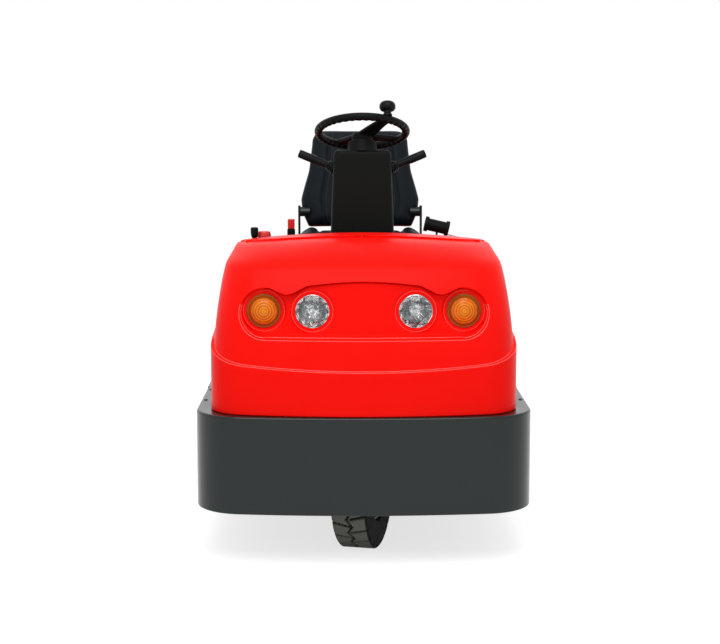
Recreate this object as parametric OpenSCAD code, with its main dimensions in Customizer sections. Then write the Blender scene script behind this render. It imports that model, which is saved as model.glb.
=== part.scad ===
// Electric baggage tug with one steered wheel in front, two driven wheels behind,
// a seat over the battery box and a stepped pin coupling at the tail.
// Millimetres. The front faces -Y, +X is the tug's left, +Z is up and the ground is z = 0.

/* [Overall] */
// Width across the bumper
overall_w = 1000; // [970:1:1030]
// Front wheel's centre to the rear axle
wheelbase = 1150; // [1135:1:1165]
// Rear axle to the tail plate's back
tail_l = 310; // [305:1:320]

/* [Frame and bumper] */
// Height of the frame's lower edge
frame_z = 162; // [150:1:172]
// Height of the frame's deck
deck_z = 452; // [446:1:460]
// Thickness of the frame's plates
plate_t = 12; // [10:1:14]
// Thickness of the bumper's plate
bumper_t = 20; // [16:1:24]
// Radius of the bumper's bowed face
bumper_bow_r = 3000; // [2600:10:3400]
// Radius of the bumper's corners
bumper_corner_r = 150; // [140:1:160]

/* [Hood] */
// Half width of the hood's skirt
skirt_hw = 456; // [448:1:461]
// Radius of the skirt's bowed face
hood_bow_r = 1700; // [1500:10:1900]
// Radius of the skirt's corners
hood_corner_r = 130; // [120:1:140]
// Height of the hood's crest
crest_z = 957; // [950:1:965]
// Height of the seam between skirt and upper hood, at the front
seam_z = 584; // [576:1:592]
// Slope of the seam round the front corners, in degrees
seam_deg = 22; // [20:0.5:24]
// Slope of the seam along the sides, in degrees
side_seam_deg = 6; // [4:0.5:8]
// Thickness of the hood's side walls
hood_wall = 20; // [16:1:22]

/* [Lamps] */
// Radius of a front lamp's lens
lamp_r = 46; // [44:0.5:48]
// Height of the front lamps' centres
lamp_z = 753; // [750:1:756]
// Centreline to a headlamp
headlamp_x = 151; // [146:1:156]
// Centreline to a turn lamp
turn_lamp_x = 293; // [288:1:298]
// Radius of a tail lamp
tail_lamp_r = 45; // [40:1:50]

/* [Wheels] */
// Radius of the front tyre
front_tyre_r = 207; // [202:1:210]
// Width of the front tyre
front_tyre_w = 108; // [104:1:112]
// Clear length before and behind the front tyre, to the bumper's face and the dash
well_gap = 63; // [61:1:66]
// Radius of the rear tyres
rear_tyre_r = 230; // [225:1:235]
// Width of the rear tyres
rear_tyre_w = 130; // [124:1:136]
// Distance between the rear tyres' middles
rear_track = 830; // [820:1:835]
// Angle of the front wheel as parked, towards the tug's right
parked_steer_deg = 14; // [10:1:20]

/* [Driver's place] */
// Length of the footwell from dash to battery box
footwell_l = 400; // [390:1:410]
// Height of the battery box
box_z = 765; // [755:1:775]
// Half width of the rear body
body_hw = 470; // [462:1:474]
// Outer diameter of the steering wheel
steering_d = 308; // [300:1:316]
// Height of the steering wheel's centre
steering_z = 1269; // [1265:1:1277]
// Slope of the steering wheel, in degrees
steering_deg = 20; // [18:0.5:22]
// Width of the seat's cushion
cushion_w = 456; // [440:1:470]
// Height of the seat's top
seat_top_z = 1278; // [1270:1:1286]

/* [Coupling] */
// Radius of the coupling's pin
tow_pin_r = 12.5; // [11:0.5:14]
// Height of the lowest jaw plate's underside
jaw_z = 232; // [226:1:240]
// Clear height of each jaw
jaw_gap = 50; // [46:1:54]

/* [Hidden] */
$fn = 64;

// Cutters run past a face by this much
overrun = 2;
// Running clearance of a round pin in its bore
pin_gap = 0.5;
// Thickness of a seam left between two separate panels
panel_gap = 2;

// Stations along the length, from the bumper's face to the coupling's end
front_l = front_tyre_r + well_gap;
hood_l = 2 * front_l;
coupling_l = 120;
overall_l = front_l + wheelbase + tail_l + coupling_l;
y_front = -overall_l / 2;
y_steer = y_front + front_l;
y_axle = y_steer + wheelbase;
y_dash = y_front + hood_l;
y_tail = y_axle + tail_l;

// Frame
skirt_set = 11;
body_wall = 10;
ledge_t = 10;
dash_t = 20;
y_floor = y_dash + dash_t;
y_box = y_floor + footwell_l;
mat_t = 8;
well_hw = 262;
bridge_t = 18;
bridge_hl = 150;
kingpin_r = 30;
kingpin_bore_r = 62;
arch_gap = 42;
arch_r = rear_tyre_r + arch_gap;
house_gap = 20;
house_hw = rear_track / 2 - rear_tyre_w / 2 - house_gap;
diff_r = 105;
diff_gap = 5;
tray_z = rear_tyre_r + diff_r + diff_gap + plate_t;
tail_plate_t = 20;
cheek_s = skirt_set + hood_wall + bow_fall(hood_bow_r - hood_wall, well_hw + plate_t);
house_top_z = rear_tyre_r + arch_r + body_wall;

// Hood: the loft's four control heights, fronts and half widths
hood_low_z = 560;
hood_mid_z = 740;
hood_z_ctrl = [hood_low_z, hood_mid_z, crest_z, crest_z];
hood_front_shares = [0.022, 0.037, 0.083, 0.556];
hood_front_ctrl = [for (share = hood_front_shares) share * hood_l];
hood_half_shares = [0.985, 1, 0.92, 0.787];
hood_half_ctrl = [for (share = hood_half_shares) share * skirt_hw];
hood_front_wall = 64;
side_seam_s = 190;
hood_levels = 14;
corner_steps = 7;
front_steps = 10;
lamp_panel_set = 33;
lamp_panel_s = hood_front_ctrl[2] + lamp_panel_set;
panel_half = 290;
panel_low_z = 674;
panel_high_z = 841;
turn_arch_z = 823;
panel_end_r = (turn_arch_z - panel_low_z) / 2;
dip_x = 226;
dip_z = 804;
brow_x = 148;
brow_z = 831;
curve_steps = 6;
tray_side = 96;
tray_hw = skirt_hw - tray_side;
tray_l = 110;
tray_s = hood_l - tray_l;
tray_deck_z = 920;
tray_t = 18;

// Lamps
lamp_seat = 4;
lamp_bezel = 5;
lamp_bowl_t = 3;
lamp_bowl_depth = 34;
lamp_rim_t = 6;
lens_dome = 12;
lens_t = 4;
turn_dome = 20;

// Column, stalks and dash controls
column_low_z = deck_z;
column_low_w = 244;
column_top_w = 182;
column_top_z = 1212;
column_low_l = 150;
column_top_l = 124;
column_edge_r = 16;
collar_r = 50;
collar_h = 40;
stalk_z = 1154;
stalk_deg = 22;
stalk_back_deg = 8;
stalk_rod_r = 10;
stalk_rod_l = 72;
stalk_boot_r = 20;
stalk_boot_l = 22;
stalk_grip_r = 13;
stalk_grip_l = 52;
stalk_set = 60;
stalk_y = y_floor + stalk_set;
stop_set = 48;
stop_x = stop_set - tray_hw;
stop_r = 22;
stop_cap_h = 20;
stop_stem_r = 13;
stop_stem_h = 18;
stop_inset = 40;
selector_set = 19;
selector_x = selector_set - tray_hw;
selector_knob_r = 12.5;
selector_knob_h = 36;
selector_rod_r = 5;
selector_rod_h = 16;
selector_inset = 62;
display_w = 120;
display_h = 70;
display_t = 10;
display_x = 210;
display_z = 840;
key_r = 14;
key_l = 12;
key_x = -210;
key_z = 850;

// Steering wheel
wheel_set = 90;
y_wheel = y_dash + wheel_set;
rim_r = 13;
rim_ring_r = steering_d / 2 - rim_r;
hub_drop = 10;
hub_r = 34;
hub_h = 26;
shaft_r = 12;
shaft_seat = 30;
spoke_w = 30;
spoke_t = 10;
steer_ratio = 4;
wheel_turn_deg = parked_steer_deg * steer_ratio;
knob_r = 26;
knob_h = 32;
// Outline of the knob's cap as shares of its radius and height
knob_shares = [[0.62, 0], [0.93, 0.18], [1, 0.45], [0.93, 0.75], [0.7, 0.95], [0.4, 1], [0, 1]];
knob_stem_r = 15;
knob_stem_h = 14;

// Pedals
pedal_w = 70;
pedal_l = 110;
pedal_t = 12;
pedal_deg = 42;
pedal_set = 62;
pedal_rise = 46;
pedal_stem_r = 9;
brake_x = 175;
drive_x = -175;

// Battery, box and lid
body_edge_r = 36;
body_corner_r = 60;
lid_t = 26;
lid_hw = 398;
lid_lap = 18;
rear_deck_l = 170;
y_lid = y_box + body_edge_r;
lid_l = y_tail - rear_deck_l - y_lid;
hinge_r = 11;
y_hinge = y_lid + lid_l + hinge_r + panel_gap;
hinge_pin_r = 5;
hinge_w = 70;
hinge_x = 260;
ear_t = 12;
swing_gap = 8;
y_deck = y_hinge + hinge_r + swing_gap;
deck_corner_r = 30;
lid_z = box_z + lid_t;
lid_corner_r = 40;
battery_side_gap = 8;
battery_hw = house_hw - plate_t - battery_side_gap;
battery_gap = 24;
battery_top_gap = 33;
battery_h = box_z - tray_z - battery_top_gap;

// Seat
rail_h = 34;
rail_w = 36;
rail_x = 150;
cushion_set = 42;
cushion_l = 410;
cushion_h = 74;
cushion_r = 34;
bolster_r = 46;
bolster_rise = 18;
cushion_z = lid_z + rail_h;
back_t = 84;
back_deg = 10;
back_rise = 9;
back_low_z = cushion_z + cushion_h + back_rise;
back_gap = 14;
back_corner_r = 44;
back_hw = 216;
// Backrest outline as shares of its half width and height
back_half_shares = [[0.87, 0], [0.97, 0.14], [1, 0.28], [0.955, 0.395], [0.87, 0.58], [0.81, 0.87]];
y_back = y_box + cushion_set + cushion_l + back_gap - back_t;
bolster_l = y_back - back_gap - y_box - cushion_set;
arm_t = 8;
arm_w = 46;
arm_rise = 84;
arm_boss_r = 18;
arm_boss_l = 40;
buckle_x = 250;
buckle_w = 28;
buckle_t = 22;
buckle_h = 40;
buckle_rise = 127;
buckle_z = lid_z + buckle_rise;
strap_t = 6;
button_h = 36;
button_inset = 1.5;
reel_x = 274;
reel_l = 88;
reel_r = 22;
reel_flange_r = 27;
reel_flange_t = 12;
reel_deg = 13;
reel_rise = 137;
reel_z = lid_z + reel_rise;
belt_set = 200;
tongue_l = 40;
tongue_w = 30;
tongue_t = 4;
tongue_slot_share = 0.5;

// Running gear
fork_gap = 14;
fork_arm_t = 18;
fork_arm_w = 84;
fork_crown_t = 22;
fork_crown_gap = 12;
fork_in = front_tyre_w / 2 + fork_gap;
crown_z = 2 * front_tyre_r + fork_crown_gap;
bearing_r = 80;
bearing_h = 18;
bearing_z = crown_z + fork_crown_t + panel_gap;
bridge_z = bearing_z + bearing_h;
axle_pin_r = 15;
axle_nut_r = 24;
axle_nut_t = 14;
rim_share = 0.58;
bead_t = 8;
hub_bore_r = axle_pin_r + pin_gap;
wheel_hub_r = 38;
disc_t = 10;
tyre_shoulder_share = 0.2;
hub_in = rear_track / 2 - rear_tyre_w / 2 + rear_tyre_w * tyre_shoulder_share / 2;
beam_r = 52;
diff_w = 190;
backplate_r = 100;
backplate_gap = 5;
stub_r = 24;
motor_r = 98;

// Tail lamps
tail_z = 640;
stop_lamp_x = 350;
rear_turn_x = 240;

// Coupling
jaw_t = 16;
jaw_count = 4;
jaw_hw = 50;
jaw_plate_w = 170;
jaw_plate_t = 20;
jaw_bore_r = tow_pin_r + pin_gap;
jaw_pitch = jaw_t + jaw_gap;
jaw_top_z = jaw_z + (jaw_count - 1) * jaw_pitch + jaw_t;
y_pin = overall_l / 2 - jaw_hw;
pin_tip = 18;
pin_head_r = 22;
pin_head_t = 10;
pin_ring_r = 26;
pin_ring_rod_r = 5;

// Cubic Bezier value of four control values
function bezier(c, t) = pow(1 - t, 3) * c[0] + 3 * pow(1 - t, 2) * t * c[1]
    + 3 * (1 - t) * t * t * c[2] + pow(t, 3) * c[3];

// How far a bowed face of radius r falls back at a distance x from the centreline
function bow_fall(r, x) = r - sqrt(r * r - x * x);

// Plan of a body with a bowed front at y = 0, round front corners and straight sides
module bow_plan(w, len, bow_r, corner_r) {
    cx = w / 2 - corner_r;
    cy = bow_r - sqrt(pow(bow_r - corner_r, 2) - cx * cx);
    translate([-w / 2, cy]) square([w, len - cy]);
    for (side = [-1, 1]) translate([side * cx, cy]) circle(corner_r);
    intersection() {
        translate([0, bow_r]) circle(bow_r, $fn = 256);
        polygon([[-cx, cy + overrun], [-cx, cy], [-2 * cx, 2 * cy - bow_r],
            [2 * cx, 2 * cy - bow_r], [cx, cy], [cx, cy + overrun]]);
    }
}

// A block centred on x, from y0 to y1 and z0 to z1
module slab(hw, y0, y1, z0, z1) {
    translate([-hw, y0, z0]) cube([2 * hw, y1 - y0, z1 - z0]);
}

// A cylinder along X, centred
module x_rod(r, l) {
    rotate([0, 90, 0]) cylinder(r = r, h = l, center = true);
}

// A block on z = 0 with round upright corners and rounded upper edges, centred on x and y
module soft_block(w, l, h, corner_r, edge_r) {
    cx = w / 2 - corner_r;
    cy = l / 2 - corner_r;
    module edge() difference() {
        square([corner_r, h]);
        translate([corner_r - edge_r, h - edge_r]) difference() {
            square(2 * edge_r);
            circle(edge_r);
        }
    }
    translate([-cx, -cy, 0]) cube([2 * cx, 2 * cy, h]);
    for (turn = [0, 180]) rotate([0, 0, turn]) {
        translate([cx, cy, 0]) rotate_extrude(angle = 90) edge();
        translate([-cx, cy, 0]) rotate([0, 0, 90]) rotate_extrude(angle = 90) edge();
        translate([cx, cy, 0]) rotate([90, 0, 0]) linear_extrude(2 * cy) edge();
        translate([-cx, cy, 0]) rotate([90, 0, 90]) linear_extrude(2 * cx) edge();
    }
}

// A rectangle with round corners, centred
module round_rect(w, l, r) {
    square([w - 2 * r, l], center = true);
    square([w, l - 2 * r], center = true);
    for (i = [-1, 1], j = [-1, 1]) translate([i * (w / 2 - r), j * (l / 2 - r)]) circle(r);
}

// Frame

module side_plates() color("#353c3c") {
    difference() {
        for (side = [-1, 1])
            translate([side * (overall_w / 2 - plate_t / 2), 0, 0])
                slab(plate_t / 2, y_dash, y_tail - tail_plate_t, frame_z, deck_z);
        rear_arches(arch_r);
    }
}

// Floor between the bulkheads before and behind the footwell
module floor_pan() color("#353c3c") {
    pan_hw = overall_w / 2 - plate_t;
    pan_z = deck_z - mat_t;
    difference() {
        union() {
            slab(pan_hw, y_dash, y_floor, frame_z, pan_z);
            slab(pan_hw, y_box - plate_t, y_box, frame_z, pan_z);
            slab(pan_hw, y_floor, y_box - plate_t, pan_z - plate_t, pan_z);
        }
        rear_arches(arch_r);
    }
}

// Wheel houses of the rear wheels, the tray that carries the battery and the tail plate
module rear_frame() color("#353c3c") {
    difference() {
        union() {
            slab(overall_w / 2, y_tail - tail_plate_t, y_tail, frame_z, deck_z);
            for (side = [-1, 1])
                translate([side * (house_hw - plate_t / 2), 0, 0])
                    slab(plate_t / 2, y_box + body_wall, y_tail - tail_plate_t, frame_z, house_top_z);
            for (side = [-1, 1])
                translate([side * (house_hw + overall_w / 2 - plate_t) / 2, 0, 0])
                    slab((overall_w / 2 - plate_t - house_hw) / 2, y_box, y_tail, deck_z - ledge_t, deck_z);
            slab(house_hw - plate_t, y_box, y_tail - tail_plate_t, tray_z - plate_t, tray_z);
        }
        rear_arches(arch_r);
        // Slots through which the axle beam passes the wheel houses
        translate([0, y_axle, rear_tyre_r]) x_rod(beam_r, 2 * house_hw + overrun);
        translate([-house_hw - overrun, y_axle - beam_r, frame_z - overrun])
            cube([2 * house_hw + 2 * overrun, 2 * beam_r, rear_tyre_r - frame_z + overrun]);
    }
}

// Cheeks of the front wheel's well and the bridge above it, with the steering bearing's seat
module front_well() color("#353c3c") {
    difference() {
        union() {
            for (side = [-1, 1])
                translate([side * (well_hw + plate_t / 2), 0, 0])
                    slab(plate_t / 2, y_front + cheek_s, y_dash, frame_z, bridge_z + bridge_t);
            slab(well_hw, y_steer - bridge_hl, y_steer + bridge_hl, bridge_z, bridge_z + bridge_t);
        }
        translate([0, y_steer, bridge_z - overrun])
            cylinder(r = kingpin_bore_r, h = bridge_t + 2 * overrun);
    }
}

module bumper_plan(inset, len) {
    translate([0, y_front + inset])
        bow_plan(overall_w - 2 * inset, len - inset, bumper_bow_r - inset, bumper_corner_r - inset);
}

module skirt_plan(inset, len) {
    translate([0, y_front + skirt_set + inset])
        bow_plan(2 * (skirt_hw - inset), len - skirt_set - inset, hood_bow_r - inset, hood_corner_r - inset);
}

module front_bumper() color("#353c3c") {
    difference() {
        translate([0, 0, frame_z]) linear_extrude(deck_z - frame_z) bumper_plan(0, hood_l);
        translate([0, 0, frame_z - overrun])
            linear_extrude(deck_z - ledge_t - frame_z + overrun) bumper_plan(bumper_t, hood_l + overrun);
        translate([0, 0, deck_z - ledge_t - overrun])
            linear_extrude(ledge_t + 2 * overrun) skirt_plan(hood_wall, hood_l + overrun);
    }
}

// Hood

// All space above or below one of the seam's two slopes, which meet where the sides begin
module seam_side(below, along_side) {
    reach = 2 * overall_w;
    rise = along_side ? side_seam_s * tan(seam_deg) : 0;
    translate([0, y_front + skirt_set + (along_side ? side_seam_s : 0), seam_z + rise])
        rotate([along_side ? side_seam_deg : seam_deg, 0, 0])
            translate([-reach, -reach, below ? -reach : 0]) cube([2 * reach, 2 * reach, reach]);
}

module hood_skirt() color("#f01414") {
    difference() {
        translate([0, 0, deck_z]) linear_extrude(crest_z - deck_z) skirt_plan(0, hood_l);
        translate([0, 0, deck_z - overrun])
            linear_extrude(crest_z - deck_z + 2 * overrun) skirt_plan(hood_wall, hood_l + overrun);
        seam_side(false, false);
        seam_side(false, true);
    }
}

// One level of the hood: points from the rear left corner round the front to the rear right
function hood_section(t, side_in, front_in) =
    let (w = bezier(hood_half_ctrl, t) - side_in, s = bezier(hood_front_ctrl, t) + front_in,
        r = hood_corner_r, cx = w - r, cy = hood_bow_r - sqrt(pow(hood_bow_r - r, 2) - cx * cx),
        spread = asin(cx / (hood_bow_r - r)), corner = 90 - spread)
    concat(
        [[-w, y_dash]],
        [for (i = [0:corner_steps]) let (a = corner * i / corner_steps)
            [-cx - r * cos(a), y_front + s + cy - r * sin(a)]],
        [for (i = [1:front_steps - 1]) let (a = spread * (2 * i / front_steps - 1))
            [hood_bow_r * sin(a), y_front + s + hood_bow_r - hood_bow_r * cos(a)]],
        [for (i = [0:corner_steps]) let (a = corner * (1 - i / corner_steps))
            [cx + r * cos(a), y_front + s + cy - r * sin(a)]],
        [[w, y_dash]]);

function hood_rows(side_in, front_in, top_in) =
    let (zs = [hood_z_ctrl[0], hood_z_ctrl[1], hood_z_ctrl[2] - top_in, hood_z_ctrl[3] - top_in])
    [for (i = [0:hood_levels]) let (t = i / hood_levels, z = bezier(zs, t))
        [for (p = hood_section(t, side_in, front_in)) [p[0], p[1], z]]];

function flat(rows) = [for (row = rows) for (p = row) p];

// Lofted shell: an outer and an inner skin joined by a rim at the foot and at the rear
module hood_loft() {
    outer = hood_rows(0, 0, 0);
    inner = hood_rows(hood_wall, hood_front_wall, hood_wall);
    n = hood_levels;
    m = len(outer[0]);
    function at(skin, i, j) = (skin * (n + 1) + i) * m + j;
    function quad(a, b, c, d) = [[a, b, c], [a, c, d]];
    walls = [for (i = [0:n - 1], j = [0:m - 2]) each concat(
        quad(at(0, i, j), at(0, i + 1, j), at(0, i + 1, j + 1), at(0, i, j + 1)),
        quad(at(1, i, j), at(1, i, j + 1), at(1, i + 1, j + 1), at(1, i + 1, j)))];
    foot = [for (j = [0:m - 2]) each quad(at(0, 0, j), at(0, 0, j + 1), at(1, 0, j + 1), at(1, 0, j))];
    ends = [for (i = [0:n - 1]) each concat(
        quad(at(0, i, 0), at(1, i, 0), at(1, i + 1, 0), at(0, i + 1, 0)),
        quad(at(0, i, m - 1), at(0, i + 1, m - 1), at(1, i + 1, m - 1), at(1, i, m - 1)))];
    caps = [
        [for (j = [0:m - 1]) at(0, n, m - 1 - j)],
        [for (j = [0:m - 1]) at(1, n, j)],
        [at(0, n, m - 1), at(0, n, 0), at(1, n, 0), at(1, n, m - 1)]
    ];
    polyhedron(points = concat(flat(outer), flat(inner)),
        faces = concat(walls, foot, ends, caps), convexity = 8);
}

// Half of the lamp panel's upper edge, from the centreline to the turn lamp's arch
function ease(a, b, u) = a + (b - a) * (1 - cos(180 * u)) / 2;
function brow_line() = concat(
    [for (i = [0:curve_steps - 1]) let (u = i / curve_steps)
        [u * brow_x, panel_high_z - (panel_high_z - brow_z) * u * u]],
    [for (i = [0:curve_steps - 1]) let (u = i / curve_steps)
        [brow_x + u * (dip_x - brow_x), ease(brow_z, dip_z, u)]],
    [for (i = [0:curve_steps - 1]) let (u = i / curve_steps)
        [dip_x + u * (panel_half - dip_x), ease(dip_z, turn_arch_z, u)]],
    [for (i = [0:2 * curve_steps]) let (a = 90 - 180 * i / (2 * curve_steps))
        [panel_half + panel_end_r * cos(a), turn_arch_z - panel_end_r + panel_end_r * sin(a)]]);

module lamp_panel_outline() {
    right = brow_line();
    left = [for (i = [len(right) - 1:-1:1]) [-right[i][0], right[i][1]]];
    polygon(concat(right, left));
}

function lamp_y(x) = y_front + lamp_panel_s + bow_fall(hood_bow_r, x) + lamp_seat;

module at_lamps(x) {
    for (side = [-1, 1]) translate([side * x, lamp_y(x), lamp_z]) rotate([90, 0, 0]) children();
}

module hood_shell() color("#f01414") {
    difference() {
        hood_loft();
        intersection() {
            seam_side(true, false);
            seam_side(true, true);
        }
        // Recess of the lamp panel, with an upright bowed floor
        difference() {
            translate([0, y_front + lamp_panel_s + hood_front_wall, 0]) rotate([90, 0, 0])
                linear_extrude(lamp_panel_s + hood_front_wall + overrun) lamp_panel_outline();
            translate([0, y_front + lamp_panel_s, hood_low_z])
                linear_extrude(crest_z - hood_low_z)
                    bow_plan(2 * skirt_hw, hood_l, hood_bow_r, hood_corner_r);
        }
        for (x = [headlamp_x, turn_lamp_x]) at_lamps(x) {
            cylinder(r = lamp_r + lamp_bezel, h = hood_front_wall);
            translate([0, 0, -hood_front_wall - lamp_bowl_depth])
                cylinder(r = lamp_r, h = hood_front_wall + lamp_bowl_depth + overrun);
        }
        // Opening for the instrument tray
        slab(tray_hw, y_front + tray_s, y_dash + overrun, tray_deck_z - tray_t, crest_z + overrun);
    }
}

// Lamps: a bowl whose bezel rests on the panel, and a domed lens in front of it
module lamp_bowl() {
    rotate_extrude() polygon([
        [0, -lamp_bowl_depth], [lamp_r / 2, -lamp_bowl_depth], [lamp_r - lamp_bowl_t, 0],
        [lamp_r + lamp_bezel - lamp_bowl_t / 2, 0], [lamp_r + lamp_bezel - lamp_bowl_t / 2, lamp_rim_t],
        [lamp_r, lamp_rim_t], [lamp_r, lamp_bowl_t], [lamp_r - 2 * lamp_bowl_t, lamp_bowl_t],
        [lamp_r / 2 - lamp_bowl_t, lamp_bowl_t - lamp_bowl_depth], [0, lamp_bowl_t - lamp_bowl_depth]]);
}

module lamp_lens(dome) {
    r = (lamp_r * lamp_r + dome * dome) / (2 * dome);
    intersection() {
        translate([0, 0, lamp_rim_t + dome - r]) difference() {
            sphere(r, $fn = 128);
            sphere(r - lens_t, $fn = 128);
        }
        translate([0, 0, lamp_bowl_t]) cylinder(r = lamp_r, h = lamp_rim_t + dome);
    }
}

module headlamp_bowls() color("silver") at_lamps(headlamp_x) lamp_bowl();
module turn_lamp_bowls() color("silver") at_lamps(turn_lamp_x) lamp_bowl();
module headlamp_lenses() color("whitesmoke", 0.4) at_lamps(headlamp_x) lamp_lens(lens_dome);
module turn_lamp_lenses() color("orange", 0.6) at_lamps(turn_lamp_x) lamp_lens(turn_dome);

// Dash and its controls

module dash_panel() color("#1c1e1d") {
    ts = [for (i = [0:hood_levels]) i / hood_levels];
    right = [for (t = ts) let (z = bezier(hood_z_ctrl, t))
        if (z < tray_deck_z) [bezier(hood_half_ctrl, t), z]];
    left = [for (i = [len(right) - 1:-1:0]) [-right[i][0], right[i][1]]];
    top_hw = right[len(right) - 1][0];
    // Upright panel behind the hood
    translate([0, y_floor, 0]) rotate([90, 0, 0]) linear_extrude(dash_t)
        polygon(concat([[skirt_hw, deck_z - mat_t]], right,
            [[top_hw, tray_deck_z], [-top_hw, tray_deck_z]], left, [[-skirt_hw, deck_z - mat_t]]));
    // Instrument tray let into the hood
    slab(tray_hw, y_front + tray_s, y_dash, tray_deck_z - tray_t, tray_deck_z);
}

module dash_display() color("#0c0d0e")
    translate([display_x - display_w / 2, y_floor, display_z - display_h / 2])
        cube([display_w, display_t, display_h]);

module key_switch() color("silver")
    translate([key_x, y_floor, key_z]) rotate([-90, 0, 0]) cylinder(r = key_r, h = key_l);

module stop_button() color("#d01818")
    translate([stop_x, y_dash - stop_inset, tray_deck_z]) {
        cylinder(r = stop_stem_r, h = stop_stem_h);
        translate([0, 0, stop_stem_h]) cylinder(r1 = stop_r, r2 = stop_r - stop_cap_h / 4, h = stop_cap_h);
    }

module selector_lever() color("#141515")
    translate([selector_x, y_dash - selector_inset, tray_deck_z]) {
        cylinder(r = selector_rod_r, h = selector_rod_h);
        translate([0, 0, selector_rod_h]) {
            cylinder(r = selector_knob_r, h = selector_knob_h - selector_knob_r);
            translate([0, 0, selector_knob_h - selector_knob_r]) sphere(selector_knob_r);
        }
    }

// Column

module on_wheel_axis(drop) {
    translate([0, y_wheel, steering_z]) rotate([-steering_deg, 0, 0]) translate([0, 0, -drop]) children();
}

module column_body() {
    hull() {
        translate([0, y_floor + column_low_l / 2, column_low_z])
            linear_extrude(overrun) round_rect(column_low_w, column_low_l, column_edge_r, $fn = 32);
        translate([0, y_floor + column_top_l / 2, column_top_z - overrun])
            linear_extrude(overrun) round_rect(column_top_w, column_top_l, column_edge_r, $fn = 32);
    }
}

module column_cover() color("#1a1c1b") {
    difference() {
        union() {
            column_body();
            on_wheel_axis(hub_drop + hub_h + panel_gap + collar_h)
                cylinder(r = collar_r, h = collar_h);
        }
        on_wheel_axis(hub_drop + hub_h + panel_gap + shaft_seat + 2 * overrun)
            cylinder(r = shaft_r + pin_gap, h = shaft_seat + 4 * overrun);
    }
}

module control_stalks() color("#141515") {
    difference() {
        for (side = [-1, 1])
            translate([side * (column_top_w / 2 - overrun), stalk_y, stalk_z])
                rotate([0, 0, side * stalk_back_deg]) rotate([0, side * (90 - stalk_deg), 0]) {
                    cylinder(r1 = stalk_boot_r, r2 = stalk_rod_r, h = stalk_boot_l);
                    cylinder(r = stalk_rod_r, h = stalk_rod_l);
                    translate([0, 0, stalk_rod_l - stalk_grip_r]) {
                        cylinder(r1 = stalk_rod_r, r2 = stalk_grip_r, h = stalk_grip_r);
                        translate([0, 0, stalk_grip_r]) cylinder(r = stalk_grip_r, h = stalk_grip_l);
                    }
                }
        column_body();
    }
}

// Steering wheel, turned with the parked front wheel

module steering_wheel() color("#121313") {
    on_wheel_axis(0) rotate_extrude($fn = 96) translate([rim_ring_r, 0]) circle(rim_r);
    on_wheel_axis(hub_drop + hub_h) cylinder(r = hub_r, h = hub_h);
    on_wheel_axis(hub_drop + hub_h + panel_gap + shaft_seat)
        cylinder(r = shaft_r, h = shaft_seat + panel_gap + overrun);
    // Two opposite spokes and a third one between them
    on_wheel_axis(0) rotate([0, 0, -wheel_turn_deg]) for (a = [0, 90, 180])
        rotate([0, 0, a]) hull() {
            translate([hub_r / 2, -spoke_w / 2, -hub_drop - spoke_t]) cube([spoke_t, spoke_w, spoke_t]);
            translate([rim_ring_r - spoke_t, -spoke_w / 2, -spoke_t / 2]) cube([spoke_t, spoke_w, spoke_t]);
        }
}

module spinner_knob() color("#141515")
    on_wheel_axis(0) rotate([0, 0, -wheel_turn_deg]) translate([rim_ring_r, 0, rim_r])
        rotate_extrude() polygon(concat([[0, 0], [knob_stem_r, 0], [knob_stem_r, knob_stem_h]],
            [for (p = knob_shares) [p[0] * knob_r, knob_stem_h + p[1] * knob_h]]));

// Footwell

module floor_mat() color("#202020")
    slab(overall_w / 2 - plate_t, y_floor, y_box, deck_z - mat_t, deck_z);

module pedal(x) {
    translate([x, y_floor + pedal_set, deck_z]) {
        cylinder(r = pedal_stem_r, h = pedal_rise);
        translate([0, 0, pedal_rise]) rotate([-pedal_deg, 0, 0])
            translate([-pedal_w / 2, -pedal_l / 2, -pedal_t / 2]) cube([pedal_w, pedal_l, pedal_t]);
    }
}

module brake_pedal() color("#2a2a2a") pedal(brake_x);
module drive_pedal() color("#2a2a2a") pedal(drive_x);

// Battery box, lid and rear body

module rear_arches(r) {
    for (side = [-1, 1])
        translate([side * overall_w / 2, y_axle, rear_tyre_r]) x_rod(r, overall_w - 2 * house_hw);
}

module rear_body() color("#f01414") {
    l = y_tail - y_box;
    h = box_z - deck_z;
    difference() {
        translate([0, (y_box + y_tail) / 2, deck_z])
            soft_block(2 * body_hw, l, h, body_corner_r, body_edge_r);
        // Hollow inside and open underneath, where the wheel houses keep a roof
        difference() {
            translate([0, (y_box + y_tail) / 2, deck_z - body_wall])
                soft_block(2 * (body_hw - body_wall), l - 2 * body_wall, h,
                    body_corner_r - body_wall, body_edge_r - body_wall);
            rear_arches(arch_r + body_wall);
        }
        rear_arches(arch_r);
        // Mouth of the battery box
        slab(lid_hw - lid_lap, y_lid + lid_lap, y_lid + lid_l - lid_lap,
            box_z - body_wall - overrun, box_z + overrun);
    }
}

// Fixed cover behind the lid, level with it
module rear_deck() color("#f01414")
    translate([0, (y_deck + y_tail - body_edge_r) / 2, box_z])
        linear_extrude(lid_t) round_rect(2 * lid_hw, y_tail - body_edge_r - y_deck, deck_corner_r);

module battery_block() color("#3a3a3a")
    slab(battery_hw, y_box + battery_gap, y_lid + lid_l - battery_gap, tray_z, tray_z + battery_h);

module lid_hinges() color("#2a2c2c")
    for (side = [-1, 1]) translate([side * hinge_x, y_hinge, box_z + hinge_r]) {
        x_rod(hinge_pin_r, hinge_w);
        for (end = [-1, 1]) translate([end * (hinge_w / 2 - ear_t / 2), 0, 0]) {
            x_rod(hinge_r, ear_t);
            translate([-ear_t / 2, -hinge_r, -hinge_r]) cube([ear_t, 2 * hinge_r, hinge_r]);
        }
    }

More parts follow.
